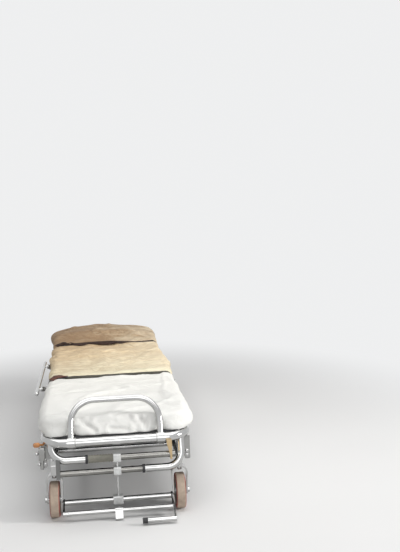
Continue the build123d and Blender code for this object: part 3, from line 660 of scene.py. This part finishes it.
def cover_point(s, t, lift=0.0):
    """Where the flat cloth's point (s, t) lies once draped, raised by lift off its surface.

    Also gives how far it is outside the flat top, and the length of cloth from there to the hem.
    """
    s, t = np.asarray(s, float), np.asarray(t, float)
    qx = np.abs(s) - (half_x - turn_r)
    qy = np.abs(t - middle_y) - (half_y - turn_r)
    corner = (qx > 0) & (qy > 0)
    size = np.where(corner, np.hypot(qx, qy), 1)
    nx = np.where(corner, qx / size, np.where(qx > qy, 1.0, 0.0)) * np.sign(s)
    ny = np.where(corner, qy / size, np.where(qx > qy, 0.0, 1.0)) * np.sign(t - middle_y)
    d = np.where(corner, size - turn_r, np.maximum(qx, qy) - turn_r)
    outside = np.maximum(d, 0)
    ox, oy = s - nx * outside, t - ny * outside
    top = cover_top(ox, oy, 1.0)
    foot = smooth(-ny, *FOOT_TURN)
    drop = top - COVER_HEM_Z - (FOOT_HEM_Z - COVER_HEM_Z) * foot
    hem = hem_length(drop)
    u = np.clip(outside / hem, 0, 1)
    arc = COVER_EDGE_R * math.pi / 2
    angle = np.minimum(u * hem, arc) / COVER_EDGE_R
    rest = np.clip((u * hem - arc) / (hem - arc), 0, 1)
    down = COVER_EDGE_R * (1 - np.cos(angle)) + rest * (drop - COVER_EDGE_R)
    share = np.clip(down / drop, 0, 1)
    lower = BULGE_LOW + BULGE_FOOT_LOWER * smooth(-oy, *BULGE_LOWERS)
    belly = side_belly(ox, oy, nx, ny) * np.sin(np.pi * share ** lower)
    tuck = COVER_HEM_IN + HEM_WAVE * noise(ox, oy, HEM_WAVE_SIZE, 9)
    tuck = tuck * smooth(share, 0.55, 1.0) * (1 - foot)
    clear = 1 - LOOP_LEG_PRESS * ridge(np.abs(ox) - LOOP_LEG_X, LOOP_LEG_REACH)
    ripple = 1 + RIPPLE * noise(ox, oy, RIPPLE_SIZE, 14)
    flare = FOOT_FLARE * foot * clear * ripple * smooth(share, 0.3, 1.0)
    flare = flare - foot_creases(ox, top - down) * foot
    out = COVER_EDGE_R * np.sin(angle) + belly * (1 - 0.6 * foot) - tuck + flare
    out = out + lift * np.sin(angle)
    z = top - down + lift * np.cos(angle)
    return np.stack([ox + nx * out, oy + ny * out, np.where(d > 0, z, top + lift)], -1), d, hem


def foot_creases(x, z):
    """How deep the sharp creases in the foot face go."""
    depth = np.zeros_like(x)
    for x0, z0, x1, z1 in FOOT_CREASES:
        run_x, run_z = x1 - x0, z1 - z0
        t = ((x - x0) * run_x + (z - z0) * run_z) / (run_x ** 2 + run_z ** 2)
        t = np.clip(t, 0, 1)
        far = np.hypot(x - x0 - t * run_x, z - z0 - t * run_z)
        lip = LIP_SHARE * ridge(far - LIP_AT, LIP_HALF)
        depth += CREASE_DEPTH * (ridge(far, CREASE_HALF) - lip)
    return depth


def hem_length(drop):
    """Length of cloth from the edge of the top face to the hem."""
    return COVER_EDGE_R * math.pi / 2 + drop - COVER_EDGE_R + COVER_SLACK


def bulges(y, least, places):
    """How far a hanging side stands out along the bed."""
    for depth, middle, half in places:
        least = least + depth * ridge(y - middle, half)
    return least


def side_belly(x, y, nx, ny):
    """How far the hanging side of the cover stands out, by place round the mattress."""
    ends = np.where(y < middle_y, BULGE_FOOT, BULGE_HEAD)
    sides = np.where(nx > 0, bulges(y, *BULGES_RIGHT), bulges(y, *BULGES_LEFT))
    base = sides * nx ** 2 + ends * ny ** 2
    corner = np.where((nx > 0) & (ny < 0), BULGE_CORNER, BULGE_OTHERS)
    base = base + corner * 4 * nx ** 2 * ny ** 2
    folds = FOLD_SMALL * noise(x * 2 + y, y - x, FOLD_SMALL_SIZE, 12)
    folds = folds + FOLD_WIDE * noise(x + y, y, FOLD_WIDE_SIZE, 13)
    post = ridge(y - post_y, POST_REACH) * np.where(nx < 0, 1.0, 0.0)
    return (base + folds) * (1 - STRAP_HOLDS * strap_pinch(y)) * (1 - POST_HOLDS * post)


def settle(points, faces, pin, spare, colliders):
    """Lets the cloth settle under its own weight with spare cloth in it; gives its new points."""
    trial = mesh_object("cover_trial", points, faces)
    for name, weights in (("pin", pin), ("spare", spare)):
        group = trial.vertex_groups.new(name=name)
        for i, weight in enumerate(weights):
            if weight > 0.001:
                group.add([i], float(weight), "REPLACE")
    cloth = trial.modifiers.new("cloth", "CLOTH")
    own = cloth.settings
    own.quality = 7
    own.mass = 0.02
    own.tension_stiffness = own.compression_stiffness = 14
    own.shear_stiffness = 6
    own.bending_stiffness = 0.2
    own.vertex_group_mass = "pin"
    own.vertex_group_shrink = "spare"
    own.shrink_min, own.shrink_max = -SPARE_LEAST, -SPARE_MOST
    cloth.collision_settings.distance_min = 0.0015
    cloth.collision_settings.use_self_collision = False
    cloth.point_cache.frame_start, cloth.point_cache.frame_end = 1, SETTLE_FRAMES
    for obj in colliders:
        obj.modifiers.new("hit", "COLLISION")
        obj.collision.thickness_outer = 0.001
    for frame_number in range(1, SETTLE_FRAMES + 1):
        bpy.context.scene.frame_set(frame_number)
    done = trial.evaluated_get(bpy.context.evaluated_depsgraph_get()).data
    settled = np.zeros(len(done.vertices) * 3)
    done.vertices.foreach_get("co", settled)
    bpy.data.objects.remove(trial)
    for obj in colliders:
        obj.modifiers.clear()
    bpy.context.scene.frame_set(1)
    return settled.reshape(-1, 3)


def settled_points(points, faces, d, hem, flat_x, flat_y, colliders):
    """The cover's points after settling; they keep their places by the straps, hem and foot."""
    near = from_straps(flat_y)
    foot = flat_y - (middle_y - half_y)
    free = smooth(near, STRAP_W / 2 + FREE_STRAP[0], STRAP_W / 2 + FREE_STRAP[1])
    free = free * smooth(hem - d, *FREE_HEM) * smooth(foot, *FREE_FOOT)
    pin = np.where(free < 0.02, 1.0, np.clip(0.5 - free, 0, 1))
    spare = np.clip(0.5 + 0.8 * noise(flat_x, flat_y, SPARE_SIZE, 16), 0, 1)
    moved = settle(points, faces, pin, spare, colliders) - points
    far = np.linalg.norm(moved, axis=1)
    moved *= (np.minimum(far, SETTLE_CAP) / np.maximum(far, 1e-9))[:, None]
    return points + moved * (free * (1 - 0.5 * smooth(d, 0.0, 0.03)))[:, None]


def make_cover(colliders):
    """The cloth cover, with its true flat size; gives a tree to find its surface by."""
    highest = foam_top + COVER_RISE + HUMP_HEIGHT + COVER_SPARE
    hem_max = float(hem_length(highest - COVER_HEM_Z))
    width, length = 2 * (half_x + hem_max), 2 * (half_y + hem_max)
    nx, ny = int(width / COVER_GRID), int(length / COVER_GRID)
    s = np.linspace(-half_x - hem_max, half_x + hem_max, nx + 1)
    t = np.linspace(middle_y - half_y - hem_max, middle_y + half_y + hem_max, ny + 1)
    S, T = np.meshgrid(s, t, indexing="ij")
    grid, d, hem = cover_point(S, T)
    inside = d < hem
    index = np.full(S.shape, -1)
    kept = inside.copy()
    kept[:-1] |= inside[1:]
    kept[1:] |= inside[:-1]
    kept[:, :-1] |= kept[:, 1:]
    kept[:, 1:] |= kept[:, :-1]
    index[kept] = np.arange(kept.sum())
    points, d, hem, flat_x, flat_y = grid[kept], d[kept], hem[kept], S[kept], T[kept]
    wanted = inside[kept]
    faces = [q for q in grid_faces(index) if min(q) >= 0 and any(wanted[k] for k in q)]
    points = settled_points(points, faces, d, hem, flat_x, flat_y, colliders)
    obj = mesh_object("cover_sheet", points, faces)
    build = bmesh.new()
    build.from_mesh(obj.data)
    bmesh.ops.remove_doubles(build, verts=build.verts, dist=0.0008)
    bmesh.ops.delete(build, geom=[v for v in build.verts if not v.link_faces], context="VERTS")
    area = sum(f.calc_area() for f in build.faces)
    tree = BVHTree.FromBMesh(build)
    build.to_mesh(obj.data)
    build.free()
    thicken(obj, COVER_THICK, -1)
    finish_piece(obj, None, "cover")
    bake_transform(obj)
    return tree


def pad(name, low, high, corner, edge, grid, top, closed_z):
    """A closed pad over the box from low to high; top gives its height, closed_z its underside."""
    nx = int((high.x - low.x) / grid)
    ny = int((high.y - low.y) / grid)
    mid, half = (low + high) / 2, (high - low) / 2
    a, b = np.meshgrid(np.linspace(-1, 1, nx + 1), np.linspace(-1, 1, ny + 1), indexing="ij")
    x, y = a * half.x, b * half.y
    over_x = np.maximum(np.abs(x) - (half.x - corner), 0)
    over_y = np.maximum(np.abs(y) - (half.y - corner), 0)
    in_corner = (over_x > 0) & (over_y > 0)
    reach, size = np.maximum(over_x, over_y), np.hypot(over_x, over_y)
    shrink = np.where(in_corner, reach / np.where(in_corner, size, 1), 1)
    x = np.sign(x) * (np.minimum(np.abs(x), half.x - corner) + over_x * shrink)
    y = np.sign(y) * (np.minimum(np.abs(y), half.y - corner) + over_y * shrink)
    rim = np.where(in_corner, corner - reach, np.minimum(half.x - np.abs(x), half.y - np.abs(y)))
    round_off = np.sqrt(np.clip(1 - (np.clip(edge - rim, 0, edge) / edge) ** 2, 0, 1))
    x, y = mid.x + x, mid.y + y
    upper = closed_z + edge * PAD_RIM + (top(x, y) - closed_z - edge * PAD_RIM) * round_off
    points = np.concatenate([
        np.stack([x, y, upper], -1).reshape(-1, 3),
        np.stack([x, y, np.full_like(x, closed_z)], -1).reshape(-1, 3),
    ])
    index = np.arange(x.size).reshape(x.shape)
    faces = []
    for quad in grid_faces(index):
        faces += [quad, tuple(k + x.size for k in reversed(quad))]
    rim_line = [index[:, 0], index[-1, 1:], index[-2::-1, -1], index[0, -2:0:-1]]
    rim_line = np.concatenate(rim_line).tolist()
    for k, n in zip(rim_line, rim_line[1:] + rim_line[:1]):
        faces.append((k, k + x.size, n + x.size, n))
    return mesh_object(name, points, faces)


def make_pads():
    """The foam mattress in its own cloth, and the pillow under the cover's hump."""
    inset = Vector((0.003, 0.003, 0.0))
    flat_top = foam_top - 0.0015
    mattress = pad(
        "mattress", foam_low + inset, foam_high - inset, corner=0.066, edge=0.02, grid=0.012,
        top=lambda x, y: np.full_like(x, flat_top), closed_z=foam_low.z + 0.001,
    )
    finish_piece(mattress, None, "cover")
    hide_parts("mattress_leg", "mattress_back")
    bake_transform(mattress)
    inset = Vector((0.03, 0.035, 0.0))
    pillow = pad(
        "pillow", pad_low + inset, pad_high - inset, corner=0.06, edge=0.05, grid=0.01,
        top=lambda x, y: np.minimum(cover_top(x, y, 0.0) - 0.006, pad_high.z), closed_z=pad_low.z,
    )
    finish_piece(pillow, "backrest", "cover")
    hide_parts("head_pad")
    return mattress, pillow


# Straps


def ribbon(route, width, lift, across=6):
    """The points of a flat band laid on the cover; route is a list of flat cloth places (s, t)."""
    steps = np.gradient(route, axis=0)
    sides = np.stack([-steps[:, 1], steps[:, 0]], -1) / np.linalg.norm(steps, axis=1)[:, None]
    shares = np.linspace(-0.5, 0.5, across + 1)
    flat = route[:, None, :] + sides[:, None, :] * shares[None, :, None] * width
    uneven = STRAP_WAVE * noise(flat[..., 0], flat[..., 1], STRAP_WAVE_SIZE, 15)
    return cover_point(flat[..., 0], flat[..., 1], lift + uneven)[0]


def band_mesh(name, points, material, body):
    """A band from a grid of points, given a thickness and places for its weave."""
    rows, cols = points.shape[:2]
    faces = grid_faces(np.arange(rows * cols).reshape(rows, cols))
    obj = mesh_object(name, points.reshape(-1, 3), faces)
    steps = np.linalg.norm(np.diff(points[:, cols // 2], axis=0), axis=1)
    along = np.concatenate([[0], np.cumsum(steps)])
    wide = np.linalg.norm(points[0, -1] - points[0, 0])
    layer = obj.data.uv_layers.new(name="weave")
    for loop in obj.data.loops:
        i, j = divmod(loop.vertex_index, cols)
        layer.data[loop.index].uv = (along[i], wide * j / (cols - 1))
    thicken(obj, STRAP_T, 1)
    finish_piece(obj, body, "webbing", material)
    return obj


def tube_wrap(side, edge):
    """The rows of points that take a strap's end, edge, round the bed tube."""
    rows = []
    r = tube_r + WRAP_LIFT
    for k in range(WRAP_STEPS):
        angle = math.radians(WRAP_FROM - WRAP_TURN * k)
        x, z = side * (side_x + r * math.cos(angle)), bed_z + r * math.sin(angle)
        rows.append([(x, p[1], z) for p in edge])
    return np.array(rows)


def strap_over(name, y, body, replaced, wraps, material):
    """A strap from side to side over the cover; where wraps, its ends go round the bed tube."""
    reach = half_x + float(hem_length(cover_top(half_x, y, 0.0) - COVER_HEM_Z))
    s = np.linspace(-reach, reach, STRAP_ROWS)
    bow = STRAP_BOW * noise(s, s * 0 + y, STRAP_BOW_SIZE, 21)
    points = ribbon(np.stack([s, y + bow], -1), STRAP_W, STRAP_LIFT)
    if wraps:
        points = np.concatenate([tube_wrap(-1, points[0])[::-1], points, tube_wrap(1, points[-1])])
    obj = band_mesh(name, points, material, body)
    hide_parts(replaced)


def eased_line(places, count=90, rounds=16):
    """A smooth line of count points through rough places."""
    places = np.array(places, float)
    knots = np.linspace(0, 1, len(places))
    fine = np.linspace(0, 1, count)
    line = np.stack([np.interp(fine, knots, column) for column in places.T], -1)
    for _ in range(rounds):
        line[1:-1] = (line[:-2] + line[1:-1] * 2 + line[2:]) / 4
    return line


def strand(name, body, width, material, held, places):
    """Loose webbing: places are (x, y, height over the cover, turn of its flat side in degrees)."""
    cols = STRAND_COLS
    line = eased_line(places)
    steps = np.gradient(line[:, :2], axis=0)
    steps /= np.linalg.norm(steps, axis=1)[:, None]
    grid = np.zeros((len(line), cols, 3))
    for i, (x, y, height, turn) in enumerate(line):
        turn = math.radians(turn)
        ground = []
        for k, a in enumerate(np.linspace(-0.5, 0.5, cols) * width):
            px = x - steps[i, 1] * a * math.cos(turn)
            py = y + steps[i, 0] * a * math.cos(turn)
            hit = cover_tree.ray_cast((px, py, 1.0), (0, 0, -1))[0]
            ground.append(hit.z if hit else foam_top)
            grid[i, k] = (px, py, a * math.sin(turn))
        grid[i, :, 2] += max(ground) + height - grid[i, :, 2].min()
    for _ in range(3):
        grid[1:-1, :, 2] = (grid[:-2, :, 2] + grid[1:-1, :, 2] * 2 + grid[2:, :, 2]) / 4
    obj = band_mesh(name, grid, material, body)


# Loose webbing: name, body, width, material, how it is held, places as strand() takes them
STRANDS = (
    ("chest_strap_tail", "backrest", 0.017, dark_webbing, "laid", (
        (-0.200, 0.636, 0.008, 0), (-0.175, 0.614, 0.003, 10), (-0.145, 0.602, 0.002, 20),
        (-0.115, 0.608, 0.002, 10), (-0.095, 0.630, 0.003, 0), (-0.065, 0.608, 0.002, 15),
        (-0.015, 0.598, 0.002, 25), (0.035, 0.602, 0.002, 20), (0.080, 0.610, 0.002, 10),
        (0.115, 0.634, 0.004, 0),
    )),
    ("chest_strap_spare", "backrest", 0.024, dark_webbing, "laid", (
        (-0.190, 0.652, 0.006, 10), (-0.120, 0.648, 0.006, 18), (-0.040, 0.645, 0.006, 22),
        (0.050, 0.648, 0.006, 18), (0.110, 0.654, 0.005, 8), (0.150, 0.664, 0.004, 0),
    )),
    ("chest_strap_fold", "backrest", 0.024, dark_webbing, "folded", (
        (-0.262, 0.610, 0.002, 0), (-0.246, 0.632, 0.005, 15), (-0.226, 0.652, 0.012, 25),
        (-0.210, 0.644, 0.010, 5), (-0.196, 0.652, 0.015, -15), (-0.172, 0.660, 0.009, -10),
        (-0.152, 0.660, 0.004, 0),
    )),
    ("leg_strap_fold", "bed", 0.024, rose_webbing, "folded", (
        (-0.252, -0.208, 0.002, 5), (-0.243, -0.196, 0.003, 10), (-0.229, -0.182, 0.005, 15),
        (-0.213, -0.170, 0.010, 15), (-0.200, -0.160, 0.012, 5), (-0.190, -0.154, 0.009, -10),
    )),
)


def bevelled(name, boxes, width, body, slot):
    """A piece made of bevelled boxes, each given by its low and high corner."""
    build = bmesh.new()
    for low, high in boxes:
        made = bmesh.ops.create_cube(build, size=1.0)
        bmesh.ops.scale(build, vec=Vector(high) - Vector(low), verts=made["verts"])
        bmesh.ops.translate(build, vec=(Vector(high) + Vector(low)) / 2, verts=made["verts"])
    mesh = bpy.data.meshes.new(name)
    build.to_mesh(mesh)
    build.free()
    obj = new_object(name, mesh)
    bevel = obj.modifiers.new("bevel", "BEVEL")
    bevel.width = width
    bevel.segments = 3
    apply_modifiers(obj)
    finish_piece(obj, body, slot)
    return obj


def make_buckle(name, node_name, body):
    """A side-release buckle: frame, tongue, prongs and the bar that the webbing turns on."""
    low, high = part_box(node_name)
    mid = (low + high) / 2
    hx, hy = (high - low).x / 2, (high - low).y / 2
    z0, z1 = low.z + 0.0005, high.z
    mid_z = (z0 + z1) / 2
    tongue_x, prong_x = mid.x + 0.002, mid.x + hx * 0.55
    bar = 0.006
    boxes = [
        ((low.x, low.y, z0), (low.x + bar, high.y, z1 - 0.002)),
        ((mid.x - 0.004, low.y, z0), (mid.x + 0.006, high.y, z1)),
        ((low.x, low.y, z0), (mid.x, low.y + bar, z1 - 0.001)),
        ((low.x, high.y - bar, z0), (mid.x, high.y, z1 - 0.001)),
        ((low.x + 0.013, low.y + bar, z0 + 0.001), (low.x + 0.017, high.y - bar, mid_z + 0.002)),
        ((tongue_x, mid.y - hy * 0.55, z0 + 0.001), (high.x, mid.y + hy * 0.55, z1 - 0.002)),
        ((tongue_x, mid.y - hy * 0.9, z0 + 0.002), (prong_x, mid.y - hy * 0.68, z1 - 0.003)),
        ((tongue_x, mid.y + hy * 0.68, z0 + 0.002), (prong_x, mid.y + hy * 0.9, z1 - 0.003)),
    ]
    obj = bevelled(name, boxes, 0.0016, body, "black_plastic")
    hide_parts(node_name)


# Small hardware

def turned(name, profile, place, axis, body, sides=32, slot="chrome_tube", material=None):
    """A turned piece: profile is (distance along the axis, radius) from its seat outwards."""
    axis = Vector(axis).normalized()
    side = axis.orthogonal().normalized()
    up = axis.cross(side)
    points, faces = [], []
    for distance, radius in profile:
        for k in range(sides):
            angle = 2 * math.pi * k / sides
            out = (side * math.cos(angle) + up * math.sin(angle)) * radius
            points.append(Vector(place) + axis * distance + out)
    rings = len(profile)
    for i in range(rings - 1):
        for k in range(sides):
            a, b = i * sides + k, i * sides + (k + 1) % sides
            faces.append((a, b, b + sides, a + sides))
    faces.append(tuple(range(sides - 1, -1, -1)))
    faces.append(tuple((rings - 1) * sides + k for k in range(sides)))
    finish_piece(mesh_object(name, points, faces), body, slot, material)


def bolt(name, place, axis, body, radius, height):
    """A hexagon bolt head on its washer."""
    r = radius
    washer = [(0, r * 1.45), (0.0012, r * 1.45), (0.0015, r * 1.38), (0.0015, r * 0.5)]
    turned(f"{name}_washer", washer, place, axis, body)
    head = [
        (0.0013, r * 0.97), (0.0018, r), (height, r),
        (height + 0.0008, r * 0.86), (height + 0.001, r * 0.4),
    ]
    turned(f"{name}_head", head, place, axis, body, sides=6)


def knob(name, place, axis, radius, length, **finish):
    """A turned knob on a short neck."""
    r = radius
    profile = [
        (0, r * 0.45), (length * 0.35, r * 0.45), (length * 0.42, r * 0.9), (length * 0.5, r),
        (length * 0.82, r), (length * 0.94, r * 0.85), (length, r * 0.5), (length * 1.01, r * 0.1),
    ]
    turned(name, profile, place, axis, "bed", **finish)


def make_hardware():
    """Bolts, nuts, knobs and latches that show at the foot end and along the sides."""
    for side, s in (("left", -1), ("right", 1)):
        for k, above in enumerate(PLATE_BOLT_HEIGHTS):
            place = (s * (plate_high.x - PLATE_BOLT_IN), plate_low.y, plate_low.z + above)
            bolt(f"plate_bolt_{side}_{k}", place, (0, -1, 0), "bed", radius=0.0048, height=0.004)
        wheel_low, wheel_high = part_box(f"hub_foot_{side}")
        wheel = (wheel_low + wheel_high) / 2
        crown = (wheel.x, wheel.y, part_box(f"foot_fork_{side}")[0].z + FORK_ARCH_UNDER)
        bolt(f"crown_nut_{side}", crown, (0, 0, -1), "base", radius=0.0085, height=0.012)
        for k, y in enumerate(SIDE_BOLT_PLACES):
            place = (s * (ring_high.x + SIDE_BOLT_SEAT), y, bed_z)
            bolt(f"side_bolt_{side}_{k}", place, (s, 0, 0), "bed", radius=0.0045, height=0.003)
        for end in ("foot", "head"):
            post_low, post_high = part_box(f"rail_post_{end}_{side}")
            pivot_x = (post_high.x if s > 0 else post_low.x) + s * POST_BOLT_SEAT
            pivot = (pivot_x, post_high.y - (post_high.x - post_low.x) * 2, bed_z)
            bolt(f"post_bolt_{end}_{side}", pivot, (s, 0, 0), "bed", radius=0.0062, height=0.0022)
    make_corner_latch()


def make_corner_latch():
    """The latch at the left corner: a block on the plate, and the knobs that work it."""
    x, y, z = plate_low.x, plate_low.y, plate_high.z
    boxes = [
        ((x - 0.008, y - 0.016, z - 0.052), (x + 0.014, y - 0.001, z - 0.006)),
        ((x - 0.004, y - 0.012, z - 0.084), (x + 0.008, y - 0.001, z - 0.050)),
    ]
    bevelled("corner_latch", boxes, 0.0025, "bed", "grey_metal")
    place = (x + 0.010, y + 0.001, z + 0.002)
    knob(
        "latch_knob_top", place, (-1, -0.12, 0.02), radius=0.0085, length=0.036,
        slot="grip", material=amber_plastic,
    )
    place = (x - 0.007, y - 0.009, z - 0.026)
    knob("latch_knob_middle", place, (-1, -0.4, 0), radius=0.006, length=0.013)
    place = (x - 0.002, y - 0.010, z - 0.062)
    knob("latch_knob_low", place, (-0.8, -1, 0), radius=0.0065, length=0.012)


# Floor, lights and camera

def seen_ray(tree):
    """1 for camera, glossy and transmission rays, 0 for rays that light the object."""
    rays = node(tree, "ShaderNodeLightPath")
    seen = maths(tree, "MAXIMUM", rays.outputs["Is Camera Ray"], rays.outputs["Is Glossy Ray"])
    return maths(tree, "MAXIMUM", seen, rays.outputs["Is Transmission Ray"])


def make_stage():
    """A wide pale floor that fades into the pale world round it."""
    sides, rings = 96, (1.5, 3.0, 6.0, 14.0)
    points = [(0.0, 0.0, 0.0)]
    faces = []
    for n, radius in enumerate(rings):
        for k in range(sides):
            angle = 2 * math.pi * k / sides
            points.append((radius * math.cos(angle), radius * math.sin(angle), 0.0))
        for k in range(sides):
            a, b = 1 + n * sides + k, 1 + n * sides + (k + 1) % sides
            faces.append((0, a, b) if n == 0 else (a - sides, a, b, b - sides))
    obj = mesh_object("studio_floor", points, faces)
    mat, tree, shader = new_material("studio_paint", Roughness=0.75)
    uneven = noise_node(tree, object_place(tree), 0.8, 2.0)
    fill(tree, shader, Base_Color=ramp(tree, uneven, [(0.3, 0.80), (0.7, 0.83)]))
    place = object_place(tree, FLOOR_STRETCH)
    away = node(tree, "ShaderNodeVectorMath", operation="LENGTH", Vector=place)
    fade = node(
        tree, "ShaderNodeMapRange", interpolation_type="SMOOTHSTEP",
        Value=away.outputs["Value"], From_Min=FLOOR_FADE[0], From_Max=FLOOR_FADE[1],
    )
    pale = node(tree, "ShaderNodeEmission", Color=PALE)
    share = times(tree, fade.outputs["Result"], seen_ray(tree))
    mix = node(tree, "ShaderNodeMixShader")
    for socket, value in zip(mix.inputs, (share, shader.outputs[0], pale.outputs[0])):
        plug(tree, socket, value)
    fill(tree, tree.nodes["Material Output"], Surface=mix.outputs[0])
    obj.data.materials.append(mat)


def area_light(name, place, target, size, power, colour=(1, 1, 1)):
    """A soft square lamp that points at a place."""
    data = bpy.data.lights.new(name, "AREA")
    data.shape = "SQUARE"
    data.size = size
    data.energy = power
    data.color = colour
    obj = new_object(name, data)
    obj.location = place
    obj.rotation_euler = (Vector(target) - Vector(place)).to_track_quat("-Z", "Y").to_euler()


def make_lights():
    """Soft studio light: a panel overhead, another behind the camera, and a key from the right."""
    area_light(
        "panel", (0, -0.5, 2.9), (0, -0.3, 0.2), size=3.6, power=72, colour=(1.0, 0.995, 0.985),
    )
    area_light("front", (0.5, -5.4, 2.1), (0, -0.6, 0.3), size=3.0, power=52)
    area_light(
        "key", (4.2, -2.0, 2.0), (0, 0.0, 0.35), size=1.0, power=115, colour=(1.0, 0.985, 0.96),
    )
    world = bpy.data.worlds.new("studio_world")
    world.use_nodes = True
    tree = world.node_tree
    strength = maths(tree, "MAXIMUM", seen_ray(tree), WORLD_LIGHT)
    fill(tree, tree.nodes["Background"], Color=PALE, Strength=strength)
    bpy.context.scene.world = world


def make_camera():
    """The camera at the photograph's viewing place."""
    yaw, pitch, roll = (math.radians(a) for a in (YAW, PITCH, ROLL))
    flat = math.cos(pitch)
    ahead = Vector((math.sin(yaw) * flat, math.cos(yaw) * flat, -math.sin(pitch)))
    level = Vector((math.cos(yaw), -math.sin(yaw), 0))
    above = level.cross(ahead)
    right = math.cos(roll) * level + math.sin(roll) * above
    up = -math.sin(roll) * level + math.cos(roll) * above
    data = bpy.data.cameras.new("camera")
    data.sensor_fit = "VERTICAL"
    data.sensor_height = SENSOR
    data.lens = FOCAL_PX / IMAGE_H * SENSOR
    data.clip_end = 60
    obj = new_object("camera", data)
    turn = Matrix((right, up, -ahead)).transposed()
    place = Matrix.Translation((CAMERA_X, end_y - CAMERA_BACK, CAMERA_Z))
    obj.matrix_world = place @ turn.to_4x4()
    bpy.context.scene.camera = obj


make_camera()
dress_cad_nodes()
cover_tree = make_cover(make_pads())
strap_over("leg_strap_band", leg_strap_y, "bed", "leg_strap", True, MATERIALS["webbing"])
strap_over("chest_strap_band", chest_strap_y, "backrest", "chest_strap", False, dark_webbing)
make_buckle("leg_buckle_body", "leg_buckle", "bed")
make_buckle("chest_buckle_body", "chest_buckle", "backrest")
for loose in STRANDS:
    strand(*loose)
make_hardware()
make_stage()
make_lights()
bpy.context.scene.view_settings.view_transform = "Standard"
